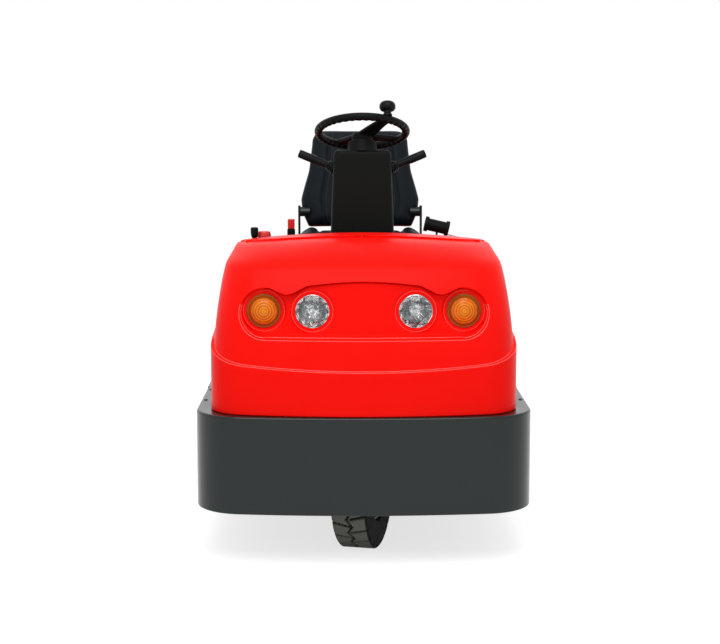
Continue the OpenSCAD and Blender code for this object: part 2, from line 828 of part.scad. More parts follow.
module battery_lid() color("#f01414") {
    translate([0, y_lid + lid_l / 2, box_z])
        linear_extrude(lid_t) round_rect(2 * lid_hw, lid_l, lid_corner_r);
    for (side = [-1, 1]) translate([side * hinge_x, y_hinge, box_z + hinge_r]) {
        barrel = hinge_w - 2 * ear_t - 2 * panel_gap;
        difference() {
            union() {
                x_rod(hinge_r, barrel);
                translate([-barrel / 2, -hinge_r - panel_gap - overrun, 0])
                    cube([barrel, hinge_r + panel_gap + overrun, hinge_r]);
            }
            x_rod(hinge_pin_r + pin_gap, barrel + overrun);
        }
    }
}

// Seat

module seat_rails() color("#2a2c2c")
    for (side = [-1, 1])
        translate([side * rail_x - rail_w / 2, y_box + cushion_set, lid_z]) cube([rail_w, cushion_l, rail_h]);

// Cushion with side bolsters that end before the backrest
module seat_cushion() color("#14171a") {
    bolster_x = cushion_w / 2 - bolster_r;
    intersection() {
        translate([0, y_box + cushion_set, cushion_z]) {
            translate([0, cushion_l, cushion_h / 2]) rotate([90, 0, 0])
                linear_extrude(cushion_l) round_rect(cushion_w, cushion_h, cushion_r);
            for (side = [-1, 1])
                translate([side * bolster_x, bolster_l, cushion_h + bolster_rise - bolster_r])
                    rotate([90, 0, 0]) cylinder(r = bolster_r, h = bolster_l);
        }
        translate([0, y_box + cushion_set + cushion_l / 2, cushion_z])
            linear_extrude(cushion_h + bolster_rise) round_rect(cushion_w, cushion_l, 2 * cushion_r);
    }
}

module on_back() {
    translate([0, y_back + back_t / 2, back_low_z]) rotate([-back_deg, 0, 0]) children();
}

module seat_back() color("#14171a") {
    h = (seat_top_z - back_low_z) / cos(back_deg) - back_t / 2 * tan(back_deg);
    right = [for (p = back_half_shares) [p[0] * back_hw, p[1] * h]];
    top_hw = right[len(right) - 1][0];
    left = [for (i = [len(right) - 1:-1:0]) [-right[i][0], right[i][1]]];
    on_back() rotate([90, 0, 0]) translate([0, 0, -back_t / 2]) linear_extrude(back_t) {
        polygon(concat(right, left));
        translate([-top_hw + back_corner_r, h / 2]) square([2 * (top_hw - back_corner_r), h / 2]);
        for (side = [-1, 1])
            translate([side * (top_hw - back_corner_r), h - back_corner_r]) circle(back_corner_r);
    }
}

// Side arms that carry the backrest from the seat's rails
module seat_arms() color("#1c1d1e")
    difference() {
        for (side = [-1, 1]) translate([side * (cushion_w / 2 + arm_t / 2), 0, 0]) {
            translate([-arm_t / 2, y_back, cushion_z + cushion_r])
                cube([arm_t, arm_w, back_low_z + arm_rise - cushion_z - cushion_r]);
            translate([-side * arm_boss_l / 2, y_back + arm_w / 2, back_low_z + arm_rise - arm_w / 2])
                x_rod(arm_boss_r, arm_boss_l);
        }
        seat_back();
    }

module belt_buckle() color("#141515")
    translate([-buckle_x, y_box + belt_set, 0]) {
        translate([-buckle_w / 2, 0, buckle_z - buckle_h]) cube([buckle_w, buckle_t, buckle_h]);
        translate([-strap_t / 2, 0, lid_z]) cube([strap_t, buckle_t, buckle_z - buckle_h - lid_z]);
    }

module belt_button() color("#c81e1e")
    translate([-buckle_x - buckle_w / 2 + button_inset, y_box + belt_set + button_inset, buckle_z])
        cube([buckle_w - 2 * button_inset, buckle_t - 2 * button_inset, button_h]);

module belt_retractor() color("#141515") {
    translate([reel_x, y_box + belt_set, reel_z]) rotate([0, reel_deg, 0]) {
        x_rod(reel_r, reel_l);
        for (end = [-1, 1])
            translate([end * (reel_l - reel_flange_t) / 2, 0, 0]) x_rod(reel_flange_r, reel_flange_t);
    }
    translate([reel_x - strap_t / 2, y_box + belt_set - reel_r / 2, lid_z])
        cube([strap_t, reel_r, reel_z - lid_z]);
}

module belt_tongue() color("silver")
    translate([reel_x, y_box + belt_set, reel_z]) rotate([0, reel_deg, 0])
        translate([reel_l / 2, -tongue_w / 2, -reel_r]) difference() {
            cube([tongue_l, tongue_w, tongue_t]);
            translate([tongue_l * tongue_slot_share, tongue_w / 4, -overrun])
                cube([tongue_l / 4, tongue_w / 2, tongue_t + 2 * overrun]);
        }

// Front running gear, turned as parked

module steered() {
    translate([0, y_steer, 0]) rotate([0, 0, -parked_steer_deg]) children();
}

module steering_bearing() color("#5a5d5e")
    translate([0, y_steer, 0]) difference() {
        union() {
            translate([0, 0, bridge_z - overrun]) cylinder(r = kingpin_bore_r, h = bridge_t + overrun);
            translate([0, 0, bearing_z]) cylinder(r = bearing_r, h = bridge_z - bearing_z);
        }
        translate([0, 0, bearing_z - overrun])
            cylinder(r = kingpin_r + pin_gap, h = bridge_z + bridge_t - bearing_z + 2 * overrun);
    }

module steer_fork() color("#3c4041") steered() {
    translate([0, 0, crown_z]) cylinder(r = fork_in + fork_arm_t, h = fork_crown_t);
    translate([0, 0, crown_z]) cylinder(r = kingpin_r, h = bridge_z + bridge_t + fork_crown_t - crown_z);
    difference() {
        for (side = [-1, 1]) translate([side * (fork_in + fork_arm_t / 2), 0, 0]) {
            translate([-fork_arm_t / 2, -fork_arm_w / 2, front_tyre_r])
                cube([fork_arm_t, fork_arm_w, crown_z - front_tyre_r + fork_crown_t / 2]);
            translate([0, 0, front_tyre_r]) x_rod(fork_arm_w / 2, fork_arm_t);
        }
        translate([0, 0, front_tyre_r]) x_rod(axle_pin_r, overall_w);
    }
}

module front_axle() color("silver") steered() translate([0, 0, front_tyre_r]) {
    x_rod(axle_pin_r, 2 * (fork_in + fork_arm_t));
    for (side = [-1, 1])
        translate([side * (fork_in + fork_arm_t + axle_nut_t / 2), 0, 0]) x_rod(axle_nut_r, axle_nut_t);
}

// Tyre and rim profiles, revolved about the wheel's own axis
module tyre(r, w) {
    bead_r = r * rim_share;
    shoulder = w * tyre_shoulder_share;
    rotate([0, 90, 0]) rotate_extrude($fn = 128) difference() {
        union() {
            translate([bead_r, -w / 2 + shoulder / 2]) square([r - bead_r - shoulder, w - shoulder]);
            translate([r - shoulder - overrun, -w / 2 + shoulder])
                square([shoulder + overrun, w - 2 * shoulder]);
            for (side = [-1, 1])
                translate([r - shoulder, side * (w / 2 - shoulder)]) circle(shoulder);
        }
        translate([0, -w]) square([bead_r, 2 * w]);
    }
}

module rim(r, w, bore_r) {
    bead_r = r * rim_share;
    half = w / 2 - w * tyre_shoulder_share / 2;
    rotate([0, 90, 0]) rotate_extrude($fn = 128) {
        // Barrel under the tyre
        translate([bead_r - bead_t, -half]) square([bead_t, 2 * half]);
        // Disc and hub
        translate([bore_r, -disc_t / 2]) square([bead_r - bore_r - bead_t / 2, disc_t]);
        translate([bore_r, -half]) square([wheel_hub_r - bore_r, 2 * half]);
    }
}

module front_rim() color("#c9cccd") steered()
    translate([0, 0, front_tyre_r]) rim(front_tyre_r, front_tyre_w, hub_bore_r);
module front_tyre() color("#2b2b29") steered()
    translate([0, 0, front_tyre_r]) tyre(front_tyre_r, front_tyre_w);

// Rear running gear

module at_rear(side) {
    translate([side * rear_track / 2, y_axle, rear_tyre_r]) children();
}

module rear_left_rim() color("#c9cccd") at_rear(1) rim(rear_tyre_r, rear_tyre_w, stub_r + pin_gap);
module rear_right_rim() color("#c9cccd") at_rear(-1) rim(rear_tyre_r, rear_tyre_w, stub_r + pin_gap);
module rear_left_tyre() color("#2b2b29") at_rear(1) tyre(rear_tyre_r, rear_tyre_w);
module rear_right_tyre() color("#2b2b29") at_rear(-1) tyre(rear_tyre_r, rear_tyre_w);

module drive_axle() color("#44484a") translate([0, y_axle, rear_tyre_r]) {
    plate_in = house_hw + backplate_gap;
    plate_out = hub_in - backplate_gap;
    x_rod(beam_r, 2 * plate_in + overrun);
    x_rod(diff_r, diff_w);
    x_rod(stub_r, rear_track + rear_tyre_w);
    for (side = [-1, 1])
        translate([side * (plate_in + plate_out) / 2, 0, 0]) x_rod(backplate_r, plate_out - plate_in);
}

module drive_motor() color("#44484a")
    translate([0, y_axle + diff_r, rear_tyre_r]) rotate([-90, 0, 0])
        cylinder(r = motor_r, h = y_tail - tail_plate_t - y_axle - diff_r);

// Tail

module tail_lamp(x) {
    for (side = [-1, 1]) translate([side * x, y_tail, tail_z]) rotate([-90, 0, 0]) {
        cylinder(r = tail_lamp_r, h = lamp_rim_t);
        translate([0, 0, lamp_rim_t])
            cylinder(r1 = tail_lamp_r, r2 = tail_lamp_r - lens_dome / 2, h = lens_dome / 2);
    }
}

module stop_lamps() color("#b01010") tail_lamp(stop_lamp_x);
module rear_turn_lamps() color("#e07a10") tail_lamp(rear_turn_x);

module tow_coupling() color("#2f3334") {
    difference() {
        union() {
            translate([0, y_tail + jaw_plate_t / 2, 0])
                slab(jaw_plate_w / 2, -jaw_plate_t / 2, jaw_plate_t / 2, jaw_z - jaw_t, jaw_top_z + jaw_t);
            for (i = [0:jaw_count - 1]) translate([0, 0, jaw_z + i * jaw_pitch]) {
                slab(jaw_hw, y_tail + jaw_plate_t / 2, y_pin, 0, jaw_t);
                translate([0, y_pin, 0]) cylinder(r = jaw_hw, h = jaw_t);
            }
        }
        translate([0, y_pin, jaw_z - overrun]) cylinder(r = jaw_bore_r, h = jaw_top_z - jaw_z + 2 * overrun);
    }
}

module tow_pin() color("silver") translate([0, y_pin, 0]) {
    translate([0, 0, jaw_z - pin_tip]) cylinder(r = tow_pin_r, h = jaw_top_z - jaw_z + pin_tip);
    translate([0, 0, jaw_top_z]) cylinder(r = pin_head_r, h = pin_head_t);
    translate([0, 0, jaw_top_z + pin_head_t + pin_ring_r]) rotate([0, 90, 0])
        rotate_extrude() translate([pin_ring_r, 0]) circle(pin_ring_rod_r);
}

side_plates();
floor_pan();
rear_frame();
front_well();
front_bumper();
hood_skirt();
hood_shell();
headlamp_bowls();
headlamp_lenses();
turn_lamp_bowls();
turn_lamp_lenses();
dash_panel();
dash_display();
key_switch();
column_cover();
control_stalks();
stop_button();
selector_lever();
floor_mat();
brake_pedal();
drive_pedal();
steering_bearing();
battery_block();
rear_body();
rear_deck();
lid_hinges();
drive_axle();
drive_motor();
stop_lamps();
rear_turn_lamps();
tow_coupling();
battery_lid();
seat_rails();
seat_cushion();
seat_back();
seat_arms();
belt_buckle();
belt_button();
belt_retractor();
belt_tongue();
steering_wheel();
spinner_knob();
steer_fork();
front_axle();
front_rim();
front_tyre();
rear_left_rim();
rear_left_tyre();
rear_right_rim();
rear_right_tyre();
tow_pin();
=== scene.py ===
"""Three-wheel electric baggage tug: meshes, finishes and studio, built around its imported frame.

Lengths in this file are millimetres until a mesh is made. The front faces -Y and +X is the tug's left.
"""

from __future__ import annotations

import functools
import logging
import math
from dataclasses import dataclass
from enum import Enum
from typing import Callable, Sequence

import bmesh
import bpy
import numpy as np
from mathutils import Matrix, Vector


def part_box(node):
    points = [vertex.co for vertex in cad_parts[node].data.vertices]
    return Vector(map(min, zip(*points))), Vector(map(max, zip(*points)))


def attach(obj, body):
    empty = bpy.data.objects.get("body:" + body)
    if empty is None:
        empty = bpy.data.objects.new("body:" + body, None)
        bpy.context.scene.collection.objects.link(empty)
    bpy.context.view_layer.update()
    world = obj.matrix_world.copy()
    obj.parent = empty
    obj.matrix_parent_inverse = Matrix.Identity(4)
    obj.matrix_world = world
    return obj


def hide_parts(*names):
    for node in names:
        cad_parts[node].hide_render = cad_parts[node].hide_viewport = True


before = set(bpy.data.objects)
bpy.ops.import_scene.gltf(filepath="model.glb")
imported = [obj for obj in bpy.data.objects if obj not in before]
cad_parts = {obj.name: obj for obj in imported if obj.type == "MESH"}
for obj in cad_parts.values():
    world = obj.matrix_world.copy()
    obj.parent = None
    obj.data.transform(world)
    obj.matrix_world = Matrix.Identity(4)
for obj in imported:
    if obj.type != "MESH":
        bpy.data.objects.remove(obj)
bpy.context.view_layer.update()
LOG = logging.getLogger("tug")
MM = 0.001
MERGE = 0.02
# Name of the point attribute that carries painted light and shade, and wear, on a piece
LIGHT_AND_WEAR = "light_and_wear"
COAT_ROUGHNESS = 0.05
SIDES = (-1, 1)
CREASE_DEG = 40.0

Points = np.ndarray
Pair = tuple[float, float]
Profile = Sequence[Pair]
Triple = tuple[float, float, float]
Piece = bpy.types.Object
Tree = bpy.types.NodeTree
Socket = bpy.types.NodeSocket
Skin = bmesh.types.BMesh
moved = Matrix.Translation


# Finishes


class Grain(Enum):
    """How a surface was made, which sets the pattern of its relief."""

    SPRAYED = "sprayed"
    POWDER = "powder"
    PEBBLED = "pebbled"
    CREASED = "creased"
    BRUSHED = "brushed"
    CAST = "cast"
    PRISMATIC = "prismatic"


def linear(colour: str) -> tuple[float, float, float, float]:
    """Turns an sRGB hex value into linear light.

    Args:
        colour: six hex digits after a hash sign.

    Returns:
        Red, green, blue and an opaque alpha.
    """
    channels = [int(colour[i:i + 2], 16) / 255 for i in (1, 3, 5)]
    foot, slope, gamma = 0.04045, 12.92, 2.4
    return (*[c / slope if c <= foot else ((c + 0.055) / 1.055) ** gamma for c in channels], 1.0)


def add_node(tree: Tree, kind: str, inputs: dict | None = None, **settings: object) -> bpy.types.Node:
    """Adds one node with its settings, values and links.

    Args:
        tree: the node tree that gets it.
        kind: the node's type name.
        inputs: input names or numbers, each with a value or with the output socket that feeds it.
        settings: the node's own properties.

    Returns:
        The new node.
    """
    node = tree.nodes.new(kind)
    for key, value in settings.items():
        setattr(node, key, value)
    for key, value in (inputs or {}).items():
        if isinstance(value, Socket):
            tree.links.new(value, node.inputs[key])
        else:
            node.inputs[key].default_value = value
    return node


@dataclass(frozen=True)
class Finish:
    """One real material: its colours, gloss and the relief that its making left, with painted light and shade
    where noted.
    """

    name: str
    colour: str
    tint: str
    roughness: Pair
    grain: Grain
    grain_mm: float
    relief_mm: float
    mottle_mm: float = 70.0
    metallic: float = 0.0
    ior: float = 1.5
    coat: float = 0.0
    transmission: float = 0.0
    specular: float = 0.5
    # Size of flats painted alternately dark and bright: painted reflections
    painted_reflection_mm: float = 0.0
    # Second colour that the point attribute turns a finish to: painted glow on lenses, scuffing and painted
    # light on tyre blocks
    lit_and_worn: str = ""

    def relief(self, tree: Tree, place: Socket) -> Socket:
        """Adds the pattern of the grain.

        Args:
            tree: the material's node tree.
            place: object coordinates.

        Returns:
            The height output.
        """
        scale = 1 / (self.grain_mm * MM)
        noise, cells, maths = "ShaderNodeTexNoise", "ShaderNodeTexVoronoi", "ShaderNodeMath"
        even = {"Vector": place, "Scale": scale}
        if self.grain is Grain.PEBBLED:
            beads = add_node(tree, cells, even, feature="SMOOTH_F1")
            made = add_node(tree, maths, {0: 1.0, 1: beads.outputs["Distance"]}, operation="SUBTRACT")
        elif self.grain is Grain.CREASED:
            warp = add_node(tree, noise, {"Vector": place, "Scale": scale / 2, "Detail": 2.0})
            bent = add_node(tree, "ShaderNodeMix", {0: 0.004, 4: place, 5: warp.outputs["Color"]},
                            data_type="VECTOR")
            flats = add_node(tree, cells, {"Vector": bent.outputs[1], "Scale": scale},
                             feature="DISTANCE_TO_EDGE")
            made = add_node(tree, "ShaderNodeMapRange",
                            {"Value": flats.outputs["Distance"], "From Max": 0.25})
        elif self.grain is Grain.BRUSHED:
            drawn = add_node(tree, "ShaderNodeMapping", {"Vector": place, "Scale": (0.03, 1.0, 1.0)})
            made = add_node(tree, noise, {"Vector": drawn.outputs[0], "Scale": scale, "Detail": 3.0})
        elif self.grain is Grain.CAST:
            sand = add_node(tree, noise, {**even, "Detail": 6.0, "Roughness": 0.7})
            pits = add_node(tree, cells, {"Vector": place, "Scale": scale / 3}, feature="SMOOTH_F1")
            made = add_node(tree, maths, {0: sand.outputs[0], 1: pits.outputs["Distance"]}, operation="ADD")
        elif self.grain is Grain.PRISMATIC:
            made = add_node(tree, cells, even, distance="CHEBYCHEV")
        else:
            made = add_node(tree, noise, {**even, "Detail": 1.0 if self.grain is Grain.SPRAYED else 4.0})
        return made.outputs[0]


@functools.lru_cache(maxsize=None)
def material_of(finish: Finish) -> bpy.types.Material:
    """Builds the node material of a finish on its first use.

    Args:
        finish: what the material is and how it was made.

    Returns:
        The material, one for each finish.
    """
    material = bpy.data.materials.new(finish.name)
    material.use_nodes = True
    tree = material.node_tree
    shader = tree.nodes["Principled BSDF"]
    place = add_node(tree, "ShaderNodeTexCoord").outputs["Object"]
    mottle = add_node(tree, "ShaderNodeTexNoise",
                      {"Vector": place, "Scale": 1 / (finish.mottle_mm * MM), "Detail": 4.0,
                       "Roughness": 0.6})
    spread = mottle.outputs[0]
    # Flats painted alternately dark and bright: painted reflections
    if finish.painted_reflection_mm:
        flats = add_node(tree, "ShaderNodeTexVoronoi", {"Vector": place, "Scale": 1 / (finish.painted_reflection_mm * MM)})
        spread = add_node(tree, "ShaderNodeSeparateColor", {0: flats.outputs["Color"]}).outputs[0]
    colour = add_node(tree, "ShaderNodeMix",
                      {0: spread, 6: linear(finish.colour), 7: linear(finish.tint)}, data_type="RGBA")
    # Painted light and shade, and wear, from the piece's point attribute
    if finish.lit_and_worn:
        light_and_wear = add_node(tree, "ShaderNodeAttribute", attribute_name=LIGHT_AND_WEAR)
        colour = add_node(tree, "ShaderNodeMix",
                          {0: light_and_wear.outputs["Fac"], 6: colour.outputs[2], 7: linear(finish.lit_and_worn)},
                          data_type="RGBA")
    tree.links.new(colour.outputs[2], shader.inputs["Base Color"])
    height = finish.relief(tree, place)
    low, high = finish.roughness
    gloss = add_node(tree, "ShaderNodeMapRange",
                     {"Value": mottle.outputs[0], "From Min": 0.3, "From Max": 0.7,
                      "To Min": low, "To Max": high})
    tree.links.new(gloss.outputs[0], shader.inputs["Roughness"])
    bump = add_node(tree, "ShaderNodeBump",
                    {"Height": height, "Distance": finish.relief_mm * MM, "Strength": 1.0})
    tree.links.new(bump.outputs[0], shader.inputs["Normal"])
    constants = {"Metallic": finish.metallic, "IOR": finish.ior, "Coat Weight": finish.coat,
                 "Coat Roughness": COAT_ROUGHNESS, "Transmission Weight": finish.transmission,
                 "Specular IOR Level": finish.specular}
    for socket, value in constants.items():
        shader.inputs[socket].default_value = value
    return material


# Gel-coated glass-fibre moulding: a bright red with a soft gloss and a faint orange peel
RED_MOULDING = Finish(
    "red_gelcoat_moulding", "#F81009", "#FE150D", (0.28, 0.36), Grain.SPRAYED, 9.0, 0.04, specular=0.05)
# The same moulding painted paler along its rounded edges and lines: a painted highlight where they would
# catch the light
RED_PAINTED_HIGHLIGHT = Finish(
    "gelcoat_painted_highlight", "#FF4A46", "#FF5A55", (0.12, 0.18), Grain.SPRAYED, 9.0, 0.02, specular=0.4)
# Powder-coated steel plate: a slate grey satin whose fine orange peel softens reflections
GREY_STEEL = Finish(
    "slate_powder_coated_steel", "#101A19", "#15201F", (0.15, 0.21), Grain.POWDER, 2.5, 0.02, specular=0.32)
# Injection-moulded black ABS: a pebble grain that scatters the light into a soft sheen
BLACK_ABS = Finish(
    "grained_black_abs", "#0C0E0D", "#111312", (0.42, 0.55), Grain.PEBBLED, 2.2, 0.10, specular=0.08)
# Smooth black nylon of handles and knobs: a low gloss with a few flow marks
BLACK_NYLON = Finish(
    "black_nylon", "#0B0D0D", "#101212", (0.30, 0.42), Grain.SPRAYED, 4.0, 0.04, specular=0.1)
# Vinyl-covered foam: leather creases drawn at 4 mm so that they show, with a dull plastic sheen
SEAT_VINYL = Finish(
    "black_seat_vinyl", "#0D1216", "#141A1F", (0.40, 0.55), Grain.CREASED, 4.0, 0.18, specular=0.10)
# Vinyl piping and thread: the same black, closer and duller
SEAT_THREAD = Finish("black_bonded_thread", "#23282B", "#2B3033", (0.55, 0.7), Grain.POWDER, 0.8, 0.1)
# Soft urethane of the steering wheel: near black with a skin of fine grain
WHEEL_FOAM = Finish(
    "moulded_urethane_foam", "#0A0B0B", "#0F1010", (0.38, 0.50), Grain.PEBBLED, 1.6, 0.08, specular=0.08)
# Vulcanised tyre rubber: charcoal and dry; block tops painted a dusty grey that is partly scuffing and partly
# painted light, grooves and walls left dark as painted shade
TYRE_RUBBER = Finish(
    "vulcanised_tyre_rubber", "#121211", "#191917", (0.72, 0.88), Grain.POWDER, 3.0, 0.25, mottle_mm=25,
    specular=0.08, lit_and_worn="#72726A")
# Ribbed floor rubber: dark and matt, greyed where feet rub it
MAT_RUBBER = Finish("ribbed_floor_rubber", "#1E1F1F", "#2A2B2B", (0.65, 0.8), Grain.POWDER, 2.0, 0.15)
# Vacuum-metallised reflector plastic: a bright mirror with slight waviness, its flats painted dark and bright
# as painted reflections
CHROME = Finish(
    "metallised_reflector", "#646A6C", "#E8EAEA", (0.06, 0.14), Grain.PRISMATIC, 8.0, 0.4, metallic=1.0,
    painted_reflection_mm=11.0)
# Pressed glass of the headlamps: clear, with a fluted inside that breaks up the view
CLEAR_GLASS = Finish(
    "pressed_lamp_glass", "#F4F6F7", "#FFFFFF", (0.02, 0.05), Grain.PRISMATIC, 9.0, 0.10, ior=1.47,
    transmission=1.0)
# Amber acrylic of the turn lamps: clear orange, with a painted glow on its rings and middle and flats painted
# dark and bright as painted reflections
AMBER_ACRYLIC = Finish(
    "amber_acrylic", "#D85200", "#F47002", (0.04, 0.08), Grain.PRISMATIC, 6.0, 0.10, ior=1.49,
    transmission=0.3, specular=0.1, painted_reflection_mm=9.0, lit_and_worn="#FF9E0C")
# The flank of the amber lenses: a burnt orange that is painted shade round each lens
AMBER_SHADED_FLANK = Finish(
    "amber_flank_painted_shade", "#96420A", "#C05C06", (0.05, 0.10), Grain.PRISMATIC, 4.0, 0.10, ior=1.49,
    transmission=0.3, specular=0.1)
# Red acrylic of the stop lamps
RED_ACRYLIC = Finish(
    "red_acrylic", "#A80606", "#C80E0A", (0.06, 0.12), Grain.PRISMATIC, 6.0, 0.10, ior=1.49,
    transmission=0.15, specular=0.15)
# Gloss red plastic of the stop button and the belt release
RED_PLASTIC = Finish("gloss_red_plastic", "#D2201C", "#DA2A24", (0.18, 0.28), Grain.SPRAYED, 5.0, 0.03)
# Coated glass of the display: black and mirror smooth
DISPLAY_GLASS = Finish(
    "black_display_glass", "#07080A", "#0B0C0F", (0.04, 0.08), Grain.SPRAYED, 20.0, 0.01, coat=0.6)
# Drawn steel, bright zinc plated: brushed along its length
BRIGHT_STEEL = Finish(
    "bright_zinc_plated_steel", "#B6B9BB", "#C6C8C9", (0.22, 0.36), Grain.BRUSHED, 0.9, 0.04, metallic=1.0)
# Sand-cast iron under thin grey paint: pitted and dull
CAST_IRON = Finish(
    "painted_cast_iron", "#3E4243", "#4A4E4F", (0.55, 0.7), Grain.CAST, 5.0, 0.35, metallic=0.2)
# Painted battery case: mid grey with a coarse texture
BATTERY_PAINT = Finish("grey_battery_case", "#3A3C3D", "#444647", (0.5, 0.65), Grain.POWDER, 3.0, 0.12)
# Wheel enamel on pressed steel: an iron grey with a low gloss
WHEEL_ENAMEL = Finish(
    "grey_wheel_enamel", "#45494A", "#4E5253", (0.40, 0.52), Grain.SPRAYED, 6.0, 0.05, specular=0.2)


# Meshes


def box_mm(node: str) -> tuple[Points, Points]:
    """Gives a solid's lowest and highest corners in millimetres."""
    low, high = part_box(node)
    return np.array(low) / MM, np.array(high) / MM


def smooth_step(low: float, high: float, value: Points) -> Points:
    """Rises softly from 0 at low to 1 at high."""
    share = np.clip((value - low) / (high - low), 0, 1)
    return share * share * (3 - 2 * share)


def ease(start: Points, end: Points, share: Points) -> Points:
    """Goes from start to end along half a cosine wave."""
    return start + (end - start) * (1 - np.cos(np.pi * np.clip(share, 0, 1))) / 2


def arc(centre: Pair, radius: float, start: float, end: float, steps: int) -> list[Pair]:
    """Lists points of a circular arc.

    Args:
        centre: the arc's centre.
        radius: its radius.
        start: first angle in degrees.
        end: last angle in degrees.
        steps: number of chords.

    Returns:
        The points from first to last.
    """
    angles = np.radians(np.linspace(start, end, steps + 1))
    return [(centre[0] + radius * math.cos(a), centre[1] + radius * math.sin(a)) for a in angles]


def clean(mesh: Skin, outward: bool = True) -> None:
    """Merges doubled points, drops faces without area and turns the faces outwards."""
    bmesh.ops.remove_doubles(mesh, verts=mesh.verts, dist=MERGE * MM)
    bmesh.ops.dissolve_degenerate(mesh, edges=mesh.edges, dist=MERGE * MM)
    loose = [v for v in mesh.verts if not v.link_faces]
    bmesh.ops.delete(mesh, geom=loose, context="VERTS")
    if outward:
        bmesh.ops.recalc_face_normals(mesh, faces=mesh.faces)


def shade(mesh: Skin, crease_deg: float) -> None:
    """Shades faces smooth and keeps edges sharper than the crease angle crisp."""
    limit = math.radians(crease_deg)
    for face in mesh.faces:
        face.smooth = True
    for edge in mesh.edges:
        edge.smooth = not edge.is_manifold or edge.calc_face_angle() < limit


def new_object(name: str, mesh: Skin, crease_deg: float = CREASE_DEG) -> Piece:
    """Turns a working mesh into an object of the scene.

    Args:
        name: the piece's name.
        mesh: the working mesh, in metres. It is freed.
        crease_deg: edges with a larger angle stay crisp.

    Returns:
        The new object, at the origin.
    """
    shade(mesh, crease_deg)
    data = bpy.data.meshes.new(name)
    mesh.to_mesh(data)
    mesh.free()
    made = bpy.data.objects.new(name, data)
    bpy.context.scene.collection.objects.link(made)
    return made


def grid_into(mesh: Skin, grid: Points, around: bool = False, closed: bool = False) -> None:
    """Adds a grid of points as a skin of quads.

    Args:
        mesh: the working mesh.
        grid: rows by columns by three coordinates, in millimetres.
        around: joins the last column to the first.
        closed: joins the last row to the first and caps the two ends of each column run.
    """
    rows, columns = grid.shape[:2]
    made = [[mesh.verts.new(Vector(p) * MM) for p in row] for row in grid]
    row_pairs = [(i, (i + 1) % rows) for i in range(rows if closed else rows - 1)]
    column_pairs = [(j, (j + 1) % columns) for j in range(columns if around else columns - 1)]
    for i, k in row_pairs:
        for j, m in column_pairs:
            mesh.faces.new((made[i][j], made[i][m], made[k][m], made[k][j]))
    if closed and not around:
        mesh.faces.new([made[i][0] for i in range(rows)])
        mesh.faces.new([made[i][-1] for i in reversed(range(rows))])


def grid_object(name: str, grids: Sequence[Points], closed: bool = False,
                crease_deg: float = CREASE_DEG) -> Piece:
    """Builds one object, faces outwards, from grids that join around or, if closed, last row to first."""
    mesh = bmesh.new()
    for grid in grids:
        grid_into(mesh, grid, not closed, closed)
    clean(mesh)
    return new_object(name, mesh, crease_deg)


def revolved(profile: Profile, place: Matrix, segments: int = 64,
             radial: Callable[[Points, Points, Points], Points] | None = None) -> Points:
    """Revolves a profile about the local Z axis.

    Args:
        profile: radius and height of each point.
        place: matrix in millimetres that takes the local frame to the tug's frame.
        segments: points round a turn.
        radial: changes the radius, from radius, height and angle.

    Returns:
        A grid that is closed around.
    """
    outline = np.array(profile, float)
    angles = turns(segments)
    radius = np.repeat(outline[:, :1], segments, axis=1)
    height = np.repeat(outline[:, 1:], segments, axis=1)
    turn = np.repeat(angles[None, :], len(outline), axis=0)
    if radial is not None:
        radius = radial(radius, height, turn)
    local = np.stack([radius * np.cos(turn), radius * np.sin(turn), height], axis=-1)
    return placed(local, place)


def rotated(degrees: float, axis: str) -> Matrix:
    """Gives a turn about one axis."""
    return Matrix.Rotation(math.radians(degrees), 4, axis)


def turns(count: int) -> Points:
    """Lists even angles round a circle, in radians."""
    return np.linspace(0, 2 * np.pi, count, endpoint=False)


def placed(points: Points, place: Matrix) -> Points:
    """Takes points through a matrix."""
    matrix = np.array(place)
    return points @ matrix[:3, :3].T + matrix[:3, 3]


def capped_tube(path: Points, radius: float, sides: int) -> Points:
    """Sweeps a circle along an open path and closes its two ends to points.

    Args:
        path: the points of the centreline.
        radius: the tube's radius.
        sides: points round the tube.

    Returns:
        A grid that is closed around.
    """
    path = np.asarray(path, float)
    ahead = np.gradient(path, axis=0)
    ahead /= np.linalg.norm(ahead, axis=1, keepdims=True)
    guide = np.array([0.0, 0.0, 1.0]) if abs(ahead[0, 2]) < 0.9 else np.array([1.0, 0.0, 0.0])
    rings = []
    for point, way in zip(path, ahead):
        guide = guide - way * (guide @ way)
        guide /= np.linalg.norm(guide)
        across = np.cross(way, guide)
        angles = turns(sides)[:, None]
        rings.append(point + radius * (np.cos(angles) * guide + np.sin(angles) * across))
    first, last = (np.repeat(end[None, :], sides, axis=0) for end in (path[0], path[-1]))
    return np.array([first, *rings, last])


def steady_normals(made: Piece) -> None:
    """Weights each point's normal by its faces' areas, so that flat panels stay flat beside rounded edges."""
    mesh = made.data
    total = np.zeros((len(mesh.vertices), 3))
    for polygon in mesh.polygons:
        total[list(polygon.vertices)] += np.array(polygon.normal) * polygon.area
    length = np.linalg.norm(total, axis=1, keepdims=True)
    total = total / np.where(length > 0, length, 1)
    mesh.normals_split_custom_set_from_vertices([tuple(n) for n in total])


